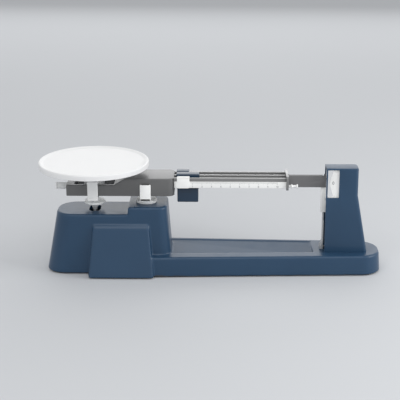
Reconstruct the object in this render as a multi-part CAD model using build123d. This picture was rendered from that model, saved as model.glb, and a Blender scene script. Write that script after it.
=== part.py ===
from build123d import *
import math
import os

# Triple beam balance. All sizes are in millimetres.
# Drawn from the pan axis (X = 0) and the underside of the base casting (Z = 0), with +X towards the
# pointer tower, -Y towards the reader and +Z up. The finished pieces are then moved so that the origin
# lies on the table, at the middle of the whole outline.

# Base casting
wall = 4.0
housing_height = 85.5
platform_rise = 10.3
housing_half_width = 30.9
housing_front_draft = 1.1
housing_left_reach = 52.3
housing_left_draft = 10.6
housing_right_reach = 30.2
housing_right_draft = 4.2
housing_left_corner = 25.0
housing_right_corner = 13.0
housing_edge = 1.6
platform_left_reach = 24.4
block_left = -1.0
block_width = 78.4
block_top_drop = 13.3
block_top_depth = 3.9
block_foot_depth = 19.2
block_side_flare = 6.2
block_back_lean = 0.35
block_edge = 2.6
block_lip = 0.2
block_back_corner = 0.5
plinth_height = 27.0
plinth_half_width = 43.9
plinth_taper = 2.54
plinth_taper_start = 8.0
plinth_draft = 4.0
plinth_left = 58.0
plinth_left_corner = 16.0
plinth_end_corner = 26.0
plinth_end_margin = 20.1
plinth_edge = 1.8
tray_back_rim = 7.0
tray_front_rim = 19.0
tray_back_depth = 0.8
tray_front_depth = 5.0
tray_end_gap = 13.9
tray_end_slope = 25.0
tray_end_lip = 0.05
rib_thickness = 3.0
pocket_pitch = 41.0
corner_share = 0.3
pocket_start_gap = 12.0
stem_slot_width = 16.0
stem_slot_length = 28.0

# Bottom cover, feet and their screws
cover_thickness = 2.0
cover_ledge = 3.0
cover_gap = 0.3
foot_stand = 2.0
foot_diameter = 16.0
foot_inset = 26.0
cover_screw_diameter = 3.0
cover_screw_head = 5.6
cover_boss_width = 8.0
cover_screw_length = 9.0
cover_screw_head_height = 1.2
first_screw_offset = 3.0
second_screw_offset = 18.0
second_screw_share = 0.52
last_screw_offset = 4.0
left_foot_offset = 9.0

# Knife edges and the lever
pan_arm = 72.4
knife_above_platform = 25.7
knife_width = 6.0
knife_depth = 5.0
bearing_gap = 0.25
bearing_length = 10.0
bearing_seat = 6.0
bearing_lip = 1.5
beam_tilt_limit = 2.2

# Beam casting
casting_half_width = 23.3
casting_below_knife = 11.0
casting_above_knife = 13.9
ring_above_knife = 4.4
ring_wall = 4.5
ring_nose = 11.0
nose_reach = 37.0
ring_right_end = 29.0
ramp_length = 16.0
tail_reach = 39.6
tail_corner = 9.0
tail_wall = 9.0
casting_edge_round = 0.9
casting_skin = 3.0
fulcrum_web = 13.0

# Beams, scale strip, end bracket and pointer
beam_spacing = 15.0
beam_thickness = 4.0
beam_span = 154.0
beam_top = 13.2
beam_bottom = -0.5
beam_tang = 8.0
rear_notches = 10
middle_notches = 5
notch_depth = 0.7
scale_strip_thickness = 1.6
scale_strip_height = 9.0
scale_strip_bottom = 0.0
bracket_thickness = 3.2
bracket_overhang_rear = 4.5
bracket_overhang_front = 6.5
bracket_above_beams = 3.2
bracket_below_beams = 2.4
bracket_corner = 1.6
arm_length = 53.2
arm_thickness = 5.0
arm_height = 16.8
arm_flange = 2.0
arm_flange_width = 13.0
pointer_blade_thickness = 0.8
pointer_blade_reach = 1.8
pointer_blade_root = 1.2
vane_thickness = 1.6
vane_stem_width = 6.9
vane_drop = 37.0
vane_paddle_height = 17.0
vane_paddle_length = 25.4
vane_tab_height = 9.0
vane_tab_gap = 0.9
vane_corner = 2.0
vane_screw_head_height = 2.4
vane_screw_crown = 0.9
vane_screw_head = 5.0
vane_screw_shank = 2.2
hanger_length = 13.2
hanger_collar_radius = 2.9
hanger_neck_radius = 1.7
beam_screw_diameter = 2.4
beam_screw_head = 4.6
beam_screw_head_height = 1.6
beam_screw_grip = 6.0

# Zero adjuster and trim weight
zero_height = -3.3
zero_knob_diameter = 9.6
zero_knob_length = 16.5
knob_edge = 0.6
knob_gap = 0.3
knob_end_wall = 3.5
zero_stud_diameter = 4.0
stud_gap = 0.05
trim_weight_width = 12.1
trim_weight_cover = 1.0
trim_weight_offset = 11.5

# Poises
poise_slot_gap = 0.3
poise_above_beam = 2.3
poise_cheek = 4.0
middle_cheek = 4.4
front_cheek = 1.2
rear_poise_length = 17.5
middle_poise_length = 32.0
middle_block_length = 29.2
middle_block_width = 18.0
middle_block_height = 20.0
middle_block_below_beam = 3.6
front_poise_length = 17.1
front_skirt_length = 20.0
front_skirt_thickness = 2.6
front_skirt_above_foot = 0.2
front_skirt_corner = 3.6
front_above_beam = 1.2
front_cap_height = 5.0
front_cap_round = 0.8
poise_start_gap = 2.4
poise_edge_round = 1.0
roller_radius = 0.9

# Pan support
strap_width = 14.3
strap_thickness = 3.2
strap_gap = 0.8
yoke_bar_gap = 1.5
yoke_bar_height = 4.0
yoke_foot_gap = 2.2
hub_diameter = 29.4
hub_above_knife = 19.5
hub_below_knife = 8.0
disc_diameter = 29.4
disc_thickness = 3.7
disc_edge = 0.8
neck_diameter = 12.0
neck_height = 7.1
collar_diameter = 14.0
collar_height = 5.5
stem_diameter = 7.0
foot_screw_diameter = 1.6
foot_screw_head = 3.0
foot_screw_head_height = 1.0
foot_screw_grip = 5.0
check_drop = 76.0
check_rod_height = 8.0
check_rod_thickness = 6.0
check_pin_diameter = 4.0
check_eye_diameter = 10.0
fork_cheek = 2.2
fork_crown = 3.0
fork_gap = 0.3
running_gap = 0.05
open_pivot_gap = 0.3

# Fulcrum stand and check-rod bracket
stand_strap_width = 14.8
stand_strap_thickness = 4.0
stand_skin = 1.0
stand_above_knife = 5.9
stand_disc_diameter = 29.4
stand_disc_thickness = 4.0
stand_neck_diameter = 16.0
stand_screw_diameter = 5.0
stand_screw_head = 8.0
stand_screw_head_height = 3.0
stand_screw_grip = 3.0
check_bracket_sheet = 2.0
check_bracket_width = 12.0
check_bracket_cut = 3.0

# Pan
pan_diameter = 152.4
pan_height = 7.4
pan_sheet = 1.8
pan_dish = 1.6
pan_rim_above_knife = 33.5
pan_boss_diameter = 22.0
pan_stem_diameter = 10.0
pan_stem_depth = 10.5
pan_stem_gap = 0.05
pan_lip_width = 2.6
pan_cove = 4.0
pan_crown = 0.6
pan_flange_reach = 8.0
pan_flange_thickness = 2.0

# Pointer tower, zero plate and damper
tower_entry = 0.7
tower_top_length = 44.3
tower_foot_length = 59.5
tower_top_half_width = 12.3
tower_foot_half_width = 17.6
tower_shoulder_above_foot = 82.0
tower_wall = 2.5
tower_roof = 2.0
tower_roof_gap = 1.3
tower_corner = 4.5
tower_roof_edge = 1.2
tower_boss_height = 12.0
tower_boss_radius = 4.0
tower_screw_grip = 8.0
tower_screw_station = 40.0
tower_screw_inset = 3.4
window_inset = 1.9
window_width = 15.9
window_half_height = 19.2
window_extra_below = 1.4
back_window_extra = 9.0
zero_plate_thickness = 1.0
zero_plate_margin = 4.0
zero_border = 1.4
zero_point_reach = 5.8
zero_point_inset = 2.3
zero_plate_inset = 0.6
magnet_gap = 2.2
magnet_thickness = 4.8
magnet_length = 14.0
magnet_height = 14.0
damper_sheet = 1.6
damper_lead = 2.3
damper_foot_length = 3.2
damper_foot_reach = 3.6
damper_wide_below_paddle = 12.0
damper_edge_inset = 0.6
damper_screw_inset = 1.0
damper_foot_rise = 3.0
magnet_rim = 1.5
magnet_end_rim = 1.0
paddle_clearance = 2.0
damper_foot_height = 11.0
damper_base_length = 13.0
damper_screw_length = 6.0

# Half width of a profile that is cut by another one, past every side of the part
past_all_sides = 60.0

# Heights that the sizes above give
platform_z = housing_height + platform_rise
block_top_z = housing_height - block_top_drop
knife_z = platform_z + knife_above_platform
fulcrum_x = pan_arm
casting_bottom = knife_z - casting_below_knife
casting_top = knife_z + casting_above_knife
ring_top = knife_z + ring_above_knife
beam_top_z = knife_z + beam_top
beam_bottom_z = knife_z + beam_bottom
arm_top_z = beam_top_z
arm_bottom_z = arm_top_z - arm_height
arm_middle_z = arm_top_z - arm_height / 2
check_z = knife_z - check_drop

# Stations along the beam that the sizes above give
casting_right = fulcrum_x + tail_reach
bracket_x = casting_right + beam_span
arm_start_x = bracket_x + bracket_thickness
arm_end_x = arm_start_x + arm_length
tower_x = arm_end_x - tower_entry
tower_foot_right = tower_x + tower_foot_length
base_right = tower_foot_right + plinth_end_margin
tower_top_z = (
    arm_top_z
    + (arm_end_x - fulcrum_x) * math.sin(math.radians(beam_tilt_limit))
    + tower_roof_gap
    + tower_roof
)
tower_height = tower_top_z - plinth_height
origin_shift = Location(((pan_diameter / 2 - base_right) / 2, 0, foot_stand))


# Small helpers for shapes that repeat

def block_between(x0, x1, y0, y1, z0, z1):
    """A box from its two opposite corners."""
    return Pos((x0 + x1) / 2, (y0 + y1) / 2, (z0 + z1) / 2) * Box(x1 - x0, y1 - y0, z1 - z0)


def rod(start, direction, radius, length):
    """A round bar from a start point along an axis."""
    return extrude(Plane(origin=start, z_dir=direction) * Circle(radius), length)


def hexagon_head(start, upwards, across_corners, height):
    """A hexagon screw head whose seat is centred on a point, above or below it."""
    base = start[2] if upwards else start[2] - height
    return Pos(start[0], start[1], base) * extrude(RegularPolygon(across_corners / 2, 6), height)


def side_profile(points, half_width):
    """A closed outline in the X-Z plane, made as thick as twice half_width."""
    face = Plane.XZ * make_face(Polyline(*points, close=True))
    return extrude(face, half_width, both=True)


def cross_profile(points, x0, x1):
    """A closed outline in the Y-Z plane, from x0 to x1."""
    face = Plane(origin=(x0, 0, 0), x_dir=(0, 1, 0), z_dir=(1, 0, 0)) * make_face(
        Polyline(*points, close=True)
    )
    return extrude(face, x1 - x0)


def mirrored(shape):
    """A shape and its mirror image across the middle plane."""
    return [shape, mirror(shape, Plane.XZ)]


def tangent_corner(before, corner, after, radius):
    """The two points where a round of the given radius leaves the sides of a corner, and its middle."""
    c = Vector(*corner)
    a = (Vector(*before) - c).normalized()
    b = (Vector(*after) - c).normalized()
    half = math.radians(a.get_angle(b)) / 2
    set_back = radius / math.tan(half)
    to_centre = (a + b).normalized()
    middle = c + to_centre * (radius / math.sin(half) - radius)
    return c + a * set_back, middle, c + b * set_back


def rounded_outline(corners, radii):
    """A closed flat outline of straight sides and round corners."""
    count = len(corners)
    edges = []
    turns = [
        tangent_corner(corners[i - 1], corners[i], corners[(i + 1) % count], radii[i])
        for i in range(count)
    ]
    for i in range(count):
        start, middle, end = turns[i]
        edges.append(ThreePointArc(start, middle, end))
        edges.append(Line(end, turns[(i + 1) % count][0]))
    return make_face(Wire(edges))


def drafted(lower, lower_z, upper, upper_z):
    """A solid with straight drafted sides between two outlines of the same kind."""
    return loft([Pos(0, 0, lower_z) * lower, Pos(0, 0, upper_z) * upper], ruled=True)


# Base casting

def housing_outline(z, inset=0.0):
    """Plan outline of the tall housing under the pan, at a height."""
    drop = housing_height - z
    left = -housing_left_reach - drop * math.tan(math.radians(housing_left_draft)) + inset
    right = (
        fulcrum_x + housing_right_reach
        + drop * math.tan(math.radians(housing_right_draft)) - inset
    )
    half = housing_half_width + drop * math.tan(math.radians(housing_front_draft)) - inset
    corners = [(left, -half), (right, -half), (right, half), (left, half)]
    big = housing_left_corner - inset
    small = housing_right_corner - inset
    return rounded_outline(corners, [big, small, small, big])


def plinth_half_width_at(x):
    """Half width of the plinth's upper edge at a station along the beam."""
    start = fulcrum_x + housing_right_reach + plinth_taper_start
    return plinth_half_width - (x - start) * math.tan(math.radians(plinth_taper))


def plinth_outline(z, inset=0.0):
    """Plan outline of the long low plinth, at a height."""
    flare = (plinth_height - z) * math.tan(math.radians(plinth_draft))
    left = plinth_left - flare + inset
    right = base_right - plinth_height * math.tan(math.radians(plinth_draft)) + flare - inset
    half_left = plinth_half_width_at(plinth_left) + flare - inset
    half_right = plinth_half_width_at(right) + flare - inset
    corners = [(left, -half_left), (right, -half_right), (right, half_right), (left, half_left)]
    small = plinth_left_corner - inset
    big = plinth_end_corner - inset
    return rounded_outline(corners, [small, big, big, small])


def block_outline(z, inset=0.0, top_depth=block_top_depth):
    """Plan outline of the block that stands out of the housing's front, at a height."""
    share = (block_top_z - z) / block_top_z
    half = housing_half_width + (housing_height - z) * math.tan(math.radians(housing_front_draft))
    depth = top_depth + share * (block_foot_depth - top_depth)
    flare = share * block_side_flare
    lean = depth * block_back_lean
    front = -half - depth + inset
    back = -half + 2 * wall
    left = block_left - flare + inset
    right = block_left + block_width + flare - inset
    corners = [(left - lean, back), (left, front), (right, front), (right + lean, back)]
    return rounded_outline(corners, [block_back_corner, block_edge, block_edge, block_back_corner])


def edged(outline, height, edge):
    """A drafted form from Z = 0 up to a height, with its upper edge broken."""
    body = drafted(outline(0), 0, outline(height - edge), height - edge)
    return body + drafted(outline(height - edge), height - edge, outline(height, edge), height)


def base_casting():
    """One hollow casting: housing with raised platform, front block and plinth with tray."""
    step_x = fulcrum_x - platform_left_reach
    right_side = block_between(step_x, base_right, -plinth_left, plinth_left, 0, platform_z)
    tall = edged(housing_outline, housing_height, housing_edge)
    tall += edged(housing_outline, platform_z, housing_edge) & right_side
    low = edged(plinth_outline, plinth_height, plinth_edge)
    shoulder = block_top_z - block_top_depth
    front = drafted(block_outline(0), 0, block_outline(shoulder), shoulder)
    front += drafted(
        block_outline(shoulder), shoulder, block_outline(block_top_z, 0, block_lip), block_top_z
    )
    casting = tall + low + front
    casting -= tray()
    casting -= housing_cavity()
    casting -= plinth_pockets()
    casting += cover_bosses()
    casting -= cover_recess()
    for cutter in stem_slot():
        casting -= cutter
    casting -= rod((fulcrum_x, 0, 0), (0, 0, 1), stand_screw_diameter / 2, platform_z + wall)
    for place in tower_screw_places():
        casting -= rod((place[0], place[1], 0), (0, 0, 1), cover_screw_diameter / 2, 2 * plinth_height)
    for place in cover_screw_places():
        casting -= rod((place[0], place[1], 0), (0, 0, 1), cover_screw_diameter / 2, cover_screw_length)
    casting -= damper_screw_shank()
    return casting


def stem_slot():
    """The oblong hole in the housing's top that the forked stem passes through."""
    bottom = housing_height - 3 * wall
    top = housing_height + wall
    half = (stem_slot_length - stem_slot_width) / 2
    straight = block_between(-stem_slot_width / 2, stem_slot_width / 2, -half, half, bottom, top)
    end = rod((0, half, bottom), (0, 0, 1), stem_slot_width / 2, top - bottom)
    return [straight] + mirrored(end)


def tray():
    """The shallow sloped tray in the plinth's upper side, deeper towards the reader."""
    left = fulcrum_x
    right = tower_x - tray_end_gap
    front_left = -plinth_half_width_at(left) + tray_front_rim
    front_right = -plinth_half_width_at(right) + tray_front_rim
    back_left = plinth_half_width_at(left) - tray_back_rim
    back_right = plinth_half_width_at(right) - tray_back_rim
    ceiling = plinth_height + 1.0
    run = tray_front_depth * math.tan(math.radians(tray_end_slope))

    def slice_at(x, front, back, front_depth, back_depth):
        points = [
            (x, front, plinth_height - front_depth),
            (x, back, plinth_height - back_depth),
            (x, back, ceiling),
            (x, front, ceiling),
        ]
        return make_face(Polyline(*points, close=True))

    body = loft(
        [
            slice_at(left, front_left, back_left, tray_front_depth, tray_back_depth),
            slice_at(right - run, front_right, back_right, tray_front_depth, tray_back_depth),
        ],
        ruled=True,
    )
    end = loft(
        [
            slice_at(right - run, front_right, back_right, tray_front_depth, tray_back_depth),
            slice_at(right, front_right, back_right, tray_end_lip, tray_end_lip / 2),
        ],
        ruled=True,
    )
    keep_out = drafted(housing_outline(0), 0, housing_outline(platform_z), platform_z)
    return (body + end) - keep_out


def room_outline(z):
    """Plan outline of the housing's room, with its corners cut off, at a height."""
    drop = housing_height - z
    left = -housing_left_reach - drop * math.tan(math.radians(housing_left_draft)) + wall
    right = (
        fulcrum_x + housing_right_reach
        + drop * math.tan(math.radians(housing_right_draft)) - wall
    )
    half = housing_half_width + drop * math.tan(math.radians(housing_front_draft)) - wall
    cut = housing_left_corner - wall
    small = housing_right_corner - wall
    return make_face(Polyline(
        (left, half - cut), (left, cut - half), (left + cut * corner_share, -half + cut * corner_share),
        (left + cut, -half), (right - small, -half), (right, small - half), (right, half - small),
        (right - small, half), (left + cut, half), (left + cut * corner_share, half - cut * corner_share),
        close=True,
    ))


def nook_outline(z):
    """Plan outline of the hollow in the block, at a height."""
    share = (block_top_z - z) / block_top_z
    half = housing_half_width + (housing_height - z) * math.tan(math.radians(housing_front_draft))
    depth = block_top_depth + share * (block_foot_depth - block_top_depth)
    flare = share * block_side_flare
    front = -half - depth + wall
    left = block_left - flare + wall
    right = block_left + block_width + flare - wall
    return make_face(Polyline((left, 0), (left, front), (right, front), (right, 0), close=True))


def housing_cavity():
    """The room inside the housing and the block for the check-rod linkage."""
    ceiling = housing_height - wall
    room = drafted(room_outline(0), 0, room_outline(ceiling), ceiling)
    front_ceiling = block_top_z - 2 * wall
    nook = drafted(nook_outline(0), 0, nook_outline(front_ceiling), front_ceiling)
    upper = block_between(
        fulcrum_x - platform_left_reach + wall,
        fulcrum_x + housing_right_reach - 2 * wall,
        -housing_half_width + 2 * wall,
        housing_half_width - 2 * wall,
        ceiling - 1.0,
        platform_z - wall,
    )
    return room + nook + upper


def pocket_rows():
    """Left and right ends of the hollow pockets under the plinth, with a rib between each two."""
    start = fulcrum_x + housing_right_reach + pocket_start_gap
    end = base_right - plinth_end_corner - wall
    count = max(1, math.ceil((end - start) / pocket_pitch))
    pitch = (end - start) / count
    return [(start + i * pitch + rib_thickness / 2, start + (i + 1) * pitch - rib_thickness / 2)
            for i in range(count)]


def plinth_pockets():
    """Hollows under the plinth, split by cross ribs and one long rib."""
    ceiling = plinth_height - tray_front_depth - wall
    pockets = []
    for left, right in pocket_rows():
        for side in (-1, 1):
            inner = side * rib_thickness / 2
            outer_left = side * (plinth_half_width_at(left) - wall)
            outer_right = side * (plinth_half_width_at(right) - wall)
            face = make_face(
                Polyline((left, inner), (right, inner), (right, outer_right), (left, outer_left), close=True)
            )
            pockets.append(extrude(face, ceiling))
    return Part() + pockets


def cover_screw_places():
    """Plan places of the screws that hold the bottom cover."""
    first = -housing_left_reach + first_screw_offset
    second = fulcrum_x + second_screw_offset
    last = tower_foot_right + last_screw_offset
    places = [(first, 0)]
    places += [(second, side * housing_half_width * second_screw_share) for side in (-1, 1)]
    places.append((last, 0))
    return places


def cover_bosses():
    """Square posts inside the casting that take the cover screws."""
    bosses = []
    for x, y in cover_screw_places():
        if x > fulcrum_x + housing_right_reach:
            height = plinth_height - tray_front_depth - wall
        elif x > fulcrum_x - platform_left_reach:
            height = platform_z - wall
        else:
            height = housing_height - wall
        half = cover_boss_width / 2
        bosses.append(block_between(x - half, x + half, y - half, y + half, 0, height))
    return Part() + bosses


def cover_shape(inset):
    """Flat outline of the bottom cover, as one face."""
    return housing_outline(0, inset) + plinth_outline(0, inset) + block_outline(0, inset)


def cover_recess():
    """The step under the casting's rim that the cover lies in."""
    return extrude(cover_shape(wall - cover_ledge + 1.0), cover_thickness)


def bottom_cover():
    """The plate that closes the underside."""
    plate = extrude(cover_shape(wall - cover_ledge + 1.0 + cover_gap), cover_thickness)
    for x, y in cover_screw_places():
        plate -= rod((x, y, 0), (0, 0, 1), cover_screw_diameter / 2, cover_thickness)
    return plate


def foot_places():
    """Plan places of the four feet."""
    left = -housing_left_reach + left_foot_offset
    right = base_right - foot_inset
    spread_left = housing_half_width - foot_diameter / 2 - wall
    spread_right = plinth_half_width_at(right) - foot_diameter / 2 - 2 * wall
    return [
        (left, -spread_left), (left, spread_left), (right, -spread_right), (right, spread_right)
    ]


def rubber_feet():
    """Four rubber feet, bonded under the cover."""
    return [rod((x, y, -foot_stand), (0, 0, 1), foot_diameter / 2, foot_stand) for x, y in foot_places()]


def cover_screws():
    """Flat hexagon-head screws under the cover."""
    screws = []
    for x, y in cover_screw_places():
        head = hexagon_head((x, y, 0), False, cover_screw_head, cover_screw_head_height)
        shank = rod((x, y, 0), (0, 0, 1), cover_screw_diameter / 2, cover_screw_length)
        screws.append(head + shank)
    return screws


# Fulcrum stand with its bearings

def knife_section(x, upwards):
    """Corner points of a knife edge in the X-Z plane, with its sharp corner on the knife line."""
    turn = -1 if upwards else 1
    return [
        (x, knife_z),
        (x + knife_width / 2, knife_z + turn * knife_depth),
        (x - knife_width / 2, knife_z + turn * knife_depth),
    ]


def bearing_block(x, y0, y1, upwards):
    """A hard bearing with a wide groove that the knife edge stands in."""
    turn = -1 if upwards else 1
    apex = knife_z - turn * bearing_gap
    lip = knife_z + turn * bearing_lip
    seat = knife_z - turn * bearing_seat
    half = bearing_length / 2
    groove = (bearing_lip + bearing_gap) * math.tan(math.radians(60))
    points = [(x - half, seat), (x + half, seat), (x + half, lip), (x + groove, lip),
              (x, apex), (x - groove, lip), (x - half, lip)]
    face = Plane.XZ * make_face(Polyline(*points, close=True))
    return Pos(0, y1, 0) * extrude(face, y1 - y0)


stand_inner_y = casting_half_width + strap_gap
stand_outer_y = stand_inner_y + stand_strap_thickness
stand_bar_top = casting_bottom - yoke_foot_gap
stand_bar_bottom = stand_bar_top - yoke_bar_height
stand_top = knife_z + stand_above_knife
pocket_outer_y = stand_outer_y - stand_skin


def fulcrum_stand():
    """Forked stand: round foot, neck, cross bar and two uprights with bearing pockets."""
    foot = rod((fulcrum_x, 0, platform_z), (0, 0, 1), stand_disc_diameter / 2, stand_disc_thickness)
    foot = chamfer(foot.faces().sort_by(Axis.Z)[-1].edges(), disc_edge)
    neck = rod(
        (fulcrum_x, 0, platform_z + stand_disc_thickness), (0, 0, 1), stand_neck_diameter / 2,
        stand_bar_bottom - platform_z - stand_disc_thickness,
    )
    half = stand_strap_width / 2
    bar = block_between(
        fulcrum_x - half, fulcrum_x + half, -stand_outer_y, stand_outer_y, stand_bar_bottom, stand_bar_top
    )
    upright = block_between(
        fulcrum_x - half, fulcrum_x + half, stand_inner_y, stand_outer_y, stand_bar_bottom, stand_top
    )
    pocket = block_between(
        fulcrum_x - bearing_length / 2, fulcrum_x + bearing_length / 2,
        stand_inner_y, pocket_outer_y, knife_z - bearing_seat, stand_top,
    )
    upright = chamfer(upright.edges().filter_by(Axis.Y).sort_by(Axis.Z)[-2:], disc_edge)
    uprights = mirrored(upright - pocket)
    stand = foot + neck + bar + uprights[0] + uprights[1]
    return stand - rod(
        (fulcrum_x, 0, platform_z), (0, 0, 1), stand_screw_diameter / 2,
        stand_disc_thickness + stand_screw_grip,
    )


def fulcrum_stand_screw():
    """The screw that holds the stand and the check-rod bracket from inside the housing."""
    under = platform_z - wall - check_bracket_sheet
    head = rod(
        (fulcrum_x, 0, under - stand_screw_head_height), (0, 0, 1), stand_screw_head / 2, stand_screw_head_height
    )
    length = check_bracket_sheet + wall + stand_disc_thickness + stand_screw_grip
    return head + rod((fulcrum_x, 0, under), (0, 0, 1), stand_screw_diameter / 2, length)


def fulcrum_bearings():
    """The two fulcrum bearings, grooves upwards."""
    return mirrored(bearing_block(fulcrum_x, stand_inner_y, pocket_outer_y, False))


# Beam casting and its knives

def fulcrum_knife():
    """The fulcrum knife, sharp edge down, right through the casting."""
    return side_profile(knife_section(fulcrum_x, False), pocket_outer_y - 0.5)


def pan_knife():
    """The pan knife, sharp edge up, across the open ring."""
    return side_profile(knife_section(0, True), casting_half_width)


def beam_casting():
    """The lever: an open ring under the pan, a ramp and a box end that holds the beams."""
    outline = [
        (-nose_reach, casting_bottom),
        (casting_right, casting_bottom),
        (casting_right, casting_top),
        (ring_right_end + ramp_length, casting_top),
        (ring_right_end, ring_top),
        (-nose_reach, ring_top),
    ]
    body = side_profile(outline, casting_half_width)
    ends = body.edges().filter_by(Axis.Z).sort_by(Axis.X)
    body = fillet(ends[-2:], tail_corner)
    body = fillet(body.edges().filter_by(Axis.Z).sort_by(Axis.X)[:2], 3.0)
    long_edges = [e for e in body.edges() if e.center().Z > ring_top - 0.1 and abs(e.center().Y) > 1]
    body = chamfer(long_edges, casting_edge_round)
    inner = casting_half_width - ring_wall
    ring_left = -nose_reach + ring_nose
    opening = block_between(ring_left, ring_right_end, -inner, inner, casting_bottom - 1, casting_top + 1)
    opening = fillet(opening.edges().filter_by(Axis.Z), 3.0)
    body -= opening
    web_left = fulcrum_x - fulcrum_web / 2
    web_right = fulcrum_x + fulcrum_web / 2
    ceiling = casting_top - casting_skin
    for left, right in (
        (ring_right_end + ring_wall, web_left), (web_right, casting_right - tail_wall)
    ):
        pocket = block_between(left, right, -inner, inner, casting_bottom - 1, ring_top - 2)
        body -= pocket
    for left, right in ((ring_right_end + ramp_length, web_left), (web_right, casting_right - tail_wall)):
        body -= block_between(left, right, -inner, inner, casting_bottom - 1, ceiling)
    body -= fulcrum_knife()
    body -= pan_knife()
    for y in (-beam_spacing, 0, beam_spacing):
        body -= beam_bar(y, casting_right - beam_tang, casting_right + 1)
    body -= zero_stud()
    for bar in trim_weight():
        body -= bar
    return body


def beam_bar(y, x0, x1):
    """A plain bar of the beams' section."""
    half = beam_thickness / 2
    return block_between(x0, x1, y - half, y + half, beam_bottom_z, beam_top_z)


def poise_travel(length):
    """How far a poise of a given length slides from its zero place to the end bracket."""
    return beam_span - 2 * poise_start_gap - length


def notched_beam(y, length, notches):
    """A beam with evenly spaced notches in its upper edge, one for zero and one for each step."""
    bar = beam_bar(y, casting_right - beam_tang, bracket_x)
    first = casting_right + poise_start_gap + length / 2
    pitch = poise_travel(length) / notches
    for i in range(notches + 1):
        x = first + i * pitch
        points = [
            (x, beam_top_z - notch_depth), (x + notch_depth, beam_top_z), (x - notch_depth, beam_top_z)
        ]
        face = Plane.XZ * make_face(Polyline(*points, close=True))
        bar -= Pos(0, y, 0) * extrude(face, beam_thickness, both=True)
    return bar


def middle_beam():
    """The middle beam, with a tenon through the end bracket."""
    tenon = block_between(
        bracket_x, arm_start_x, -beam_thickness / 2, beam_thickness / 2,
        beam_bottom_z + 3, beam_top_z - 3,
    )
    return notched_beam(0, middle_poise_length, middle_notches) + tenon


def front_beam():
    """The front beam, plain, with the scale strip on its face."""
    bar = beam_bar(-beam_spacing, casting_right - beam_tang, bracket_x)
    return bar - hanger_shank()


def rear_beam():
    """The rear beam, with the tapped hole of its end screw."""
    return notched_beam(beam_spacing, rear_poise_length, rear_notches) - beam_screw_shank()


strip_back_y = -beam_spacing - beam_thickness / 2
strip_front_y = strip_back_y - scale_strip_thickness


def front_scale_strip():
    """The white graduated strip along the front beam."""
    z0 = beam_bottom_z + scale_strip_bottom
    return block_between(
        casting_right + 0.2, bracket_x, strip_front_y, strip_back_y, z0, z0 + scale_strip_height
    )


def end_bracket():
    """The plate across the beams' right-hand ends."""
    y0 = -beam_spacing - bracket_overhang_front
    y1 = beam_spacing + bracket_overhang_rear
    plate = block_between(
        bracket_x, arm_start_x, y0, y1, beam_bottom_z - bracket_below_beams, beam_top_z + bracket_above_beams
    )
    plate = chamfer(plate.edges().filter_by(Axis.X), bracket_corner)
    tenon_hole = block_between(
        bracket_x, arm_start_x, -beam_thickness / 2, beam_thickness / 2, beam_bottom_z + 3, beam_top_z - 3
    )
    return plate - tenon_hole - hanger_shank() - beam_screw_shank()


hanger_z = beam_bottom_z + 2.2
rear_screw_z = (beam_bottom_z + beam_top_z) / 2


def hanger_shank():
    """The threaded root of the weight hanger, through the bracket into the front beam."""
    return rod(
        (bracket_x - beam_screw_grip, -beam_spacing, hanger_z), (1, 0, 0), beam_screw_diameter / 2,
        beam_screw_grip + bracket_thickness,
    )


def weight_hanger():
    """The grooved pin that attachment weights hang on."""
    core = rod((arm_start_x, -beam_spacing, hanger_z), (1, 0, 0), hanger_neck_radius, hanger_length)
    pin = core + hanger_shank()
    collar_width = 2.3
    for x in (arm_start_x + 3.4, arm_start_x + hanger_length - collar_width):
        collar = rod((x, -beam_spacing, hanger_z), (1, 0, 0), hanger_collar_radius, collar_width)
        pin += collar
    return pin


def beam_screw_shank():
    """The threaded part of the rear beam's end screw."""
    return rod(
        (bracket_x - beam_screw_grip, beam_spacing, rear_screw_z), (1, 0, 0), beam_screw_diameter / 2,
        beam_screw_grip + bracket_thickness,
    )


def beam_screw():
    """The screw through the bracket into the rear beam."""
    head = rod((arm_start_x, beam_spacing, rear_screw_z), (1, 0, 0), beam_screw_head / 2, beam_screw_head_height)
    return beam_screw_shank() + head


def pointer_arm():
    """The flat pointer arm with a flange against the end bracket."""
    half = arm_thickness / 2
    arm = block_between(arm_start_x, arm_end_x, -half, half, arm_bottom_z, arm_top_z)
    flange = block_between(
        arm_start_x, arm_start_x + arm_flange, -arm_flange_width / 2, arm_flange_width / 2,
        arm_bottom_z, arm_top_z,
    )
    flange = chamfer(flange.edges().filter_by(Axis.X), bracket_corner)
    arm = arm + flange
    return arm - vane_tab() - vane_screw_hole() - pointer_blade()


def vane_x():
    """Left edge of the damping vane."""
    return arm_end_x - vane_stem_width


def vane_tab():
    """The vane's tab inside the slot at the arm's end."""
    half = vane_thickness / 2
    return block_between(vane_x(), arm_end_x - vane_tab_gap, -half, half, arm_bottom_z, arm_bottom_z + vane_tab_height)


def damping_vane():
    """The thin plate that hangs from the arm's end into the gap between the magnets."""
    left = vane_x()
    bottom = arm_bottom_z - vane_drop
    right = left + vane_paddle_length
    step = bottom + vane_paddle_height
    stem_right = left + vane_stem_width
    outline = [
        (left, bottom), (right, bottom), (right, step), (stem_right, step),
        (stem_right, arm_bottom_z), (left, arm_bottom_z),
    ]
    plate = side_profile(outline, vane_thickness / 2)
    plate = chamfer(plate.edges().filter_by(Axis.Y).sort_by(Axis.X)[-2:], vane_corner)
    return plate + vane_tab()


def vane_screw_x():
    """Station of the vane screw, in the middle of the vane's stem."""
    return vane_x() + vane_stem_width / 2 - 0.6


def vane_screw_hole():
    """The hole for the vane screw, from the arm's top to the vane's tab."""
    return rod(
        (vane_screw_x(), 0, arm_bottom_z + vane_tab_height), (0, 0, 1), vane_screw_shank / 2,
        arm_height - vane_tab_height,
    )


def vane_screw():
    """Domed screw on top of the arm."""
    head = rod((vane_screw_x(), 0, arm_top_z), (0, 0, 1), vane_screw_head / 2, vane_screw_head_height)
    head = chamfer(head.faces().sort_by(Axis.Z)[-1].edges(), vane_screw_crown)
    return head + vane_screw_hole()


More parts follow.
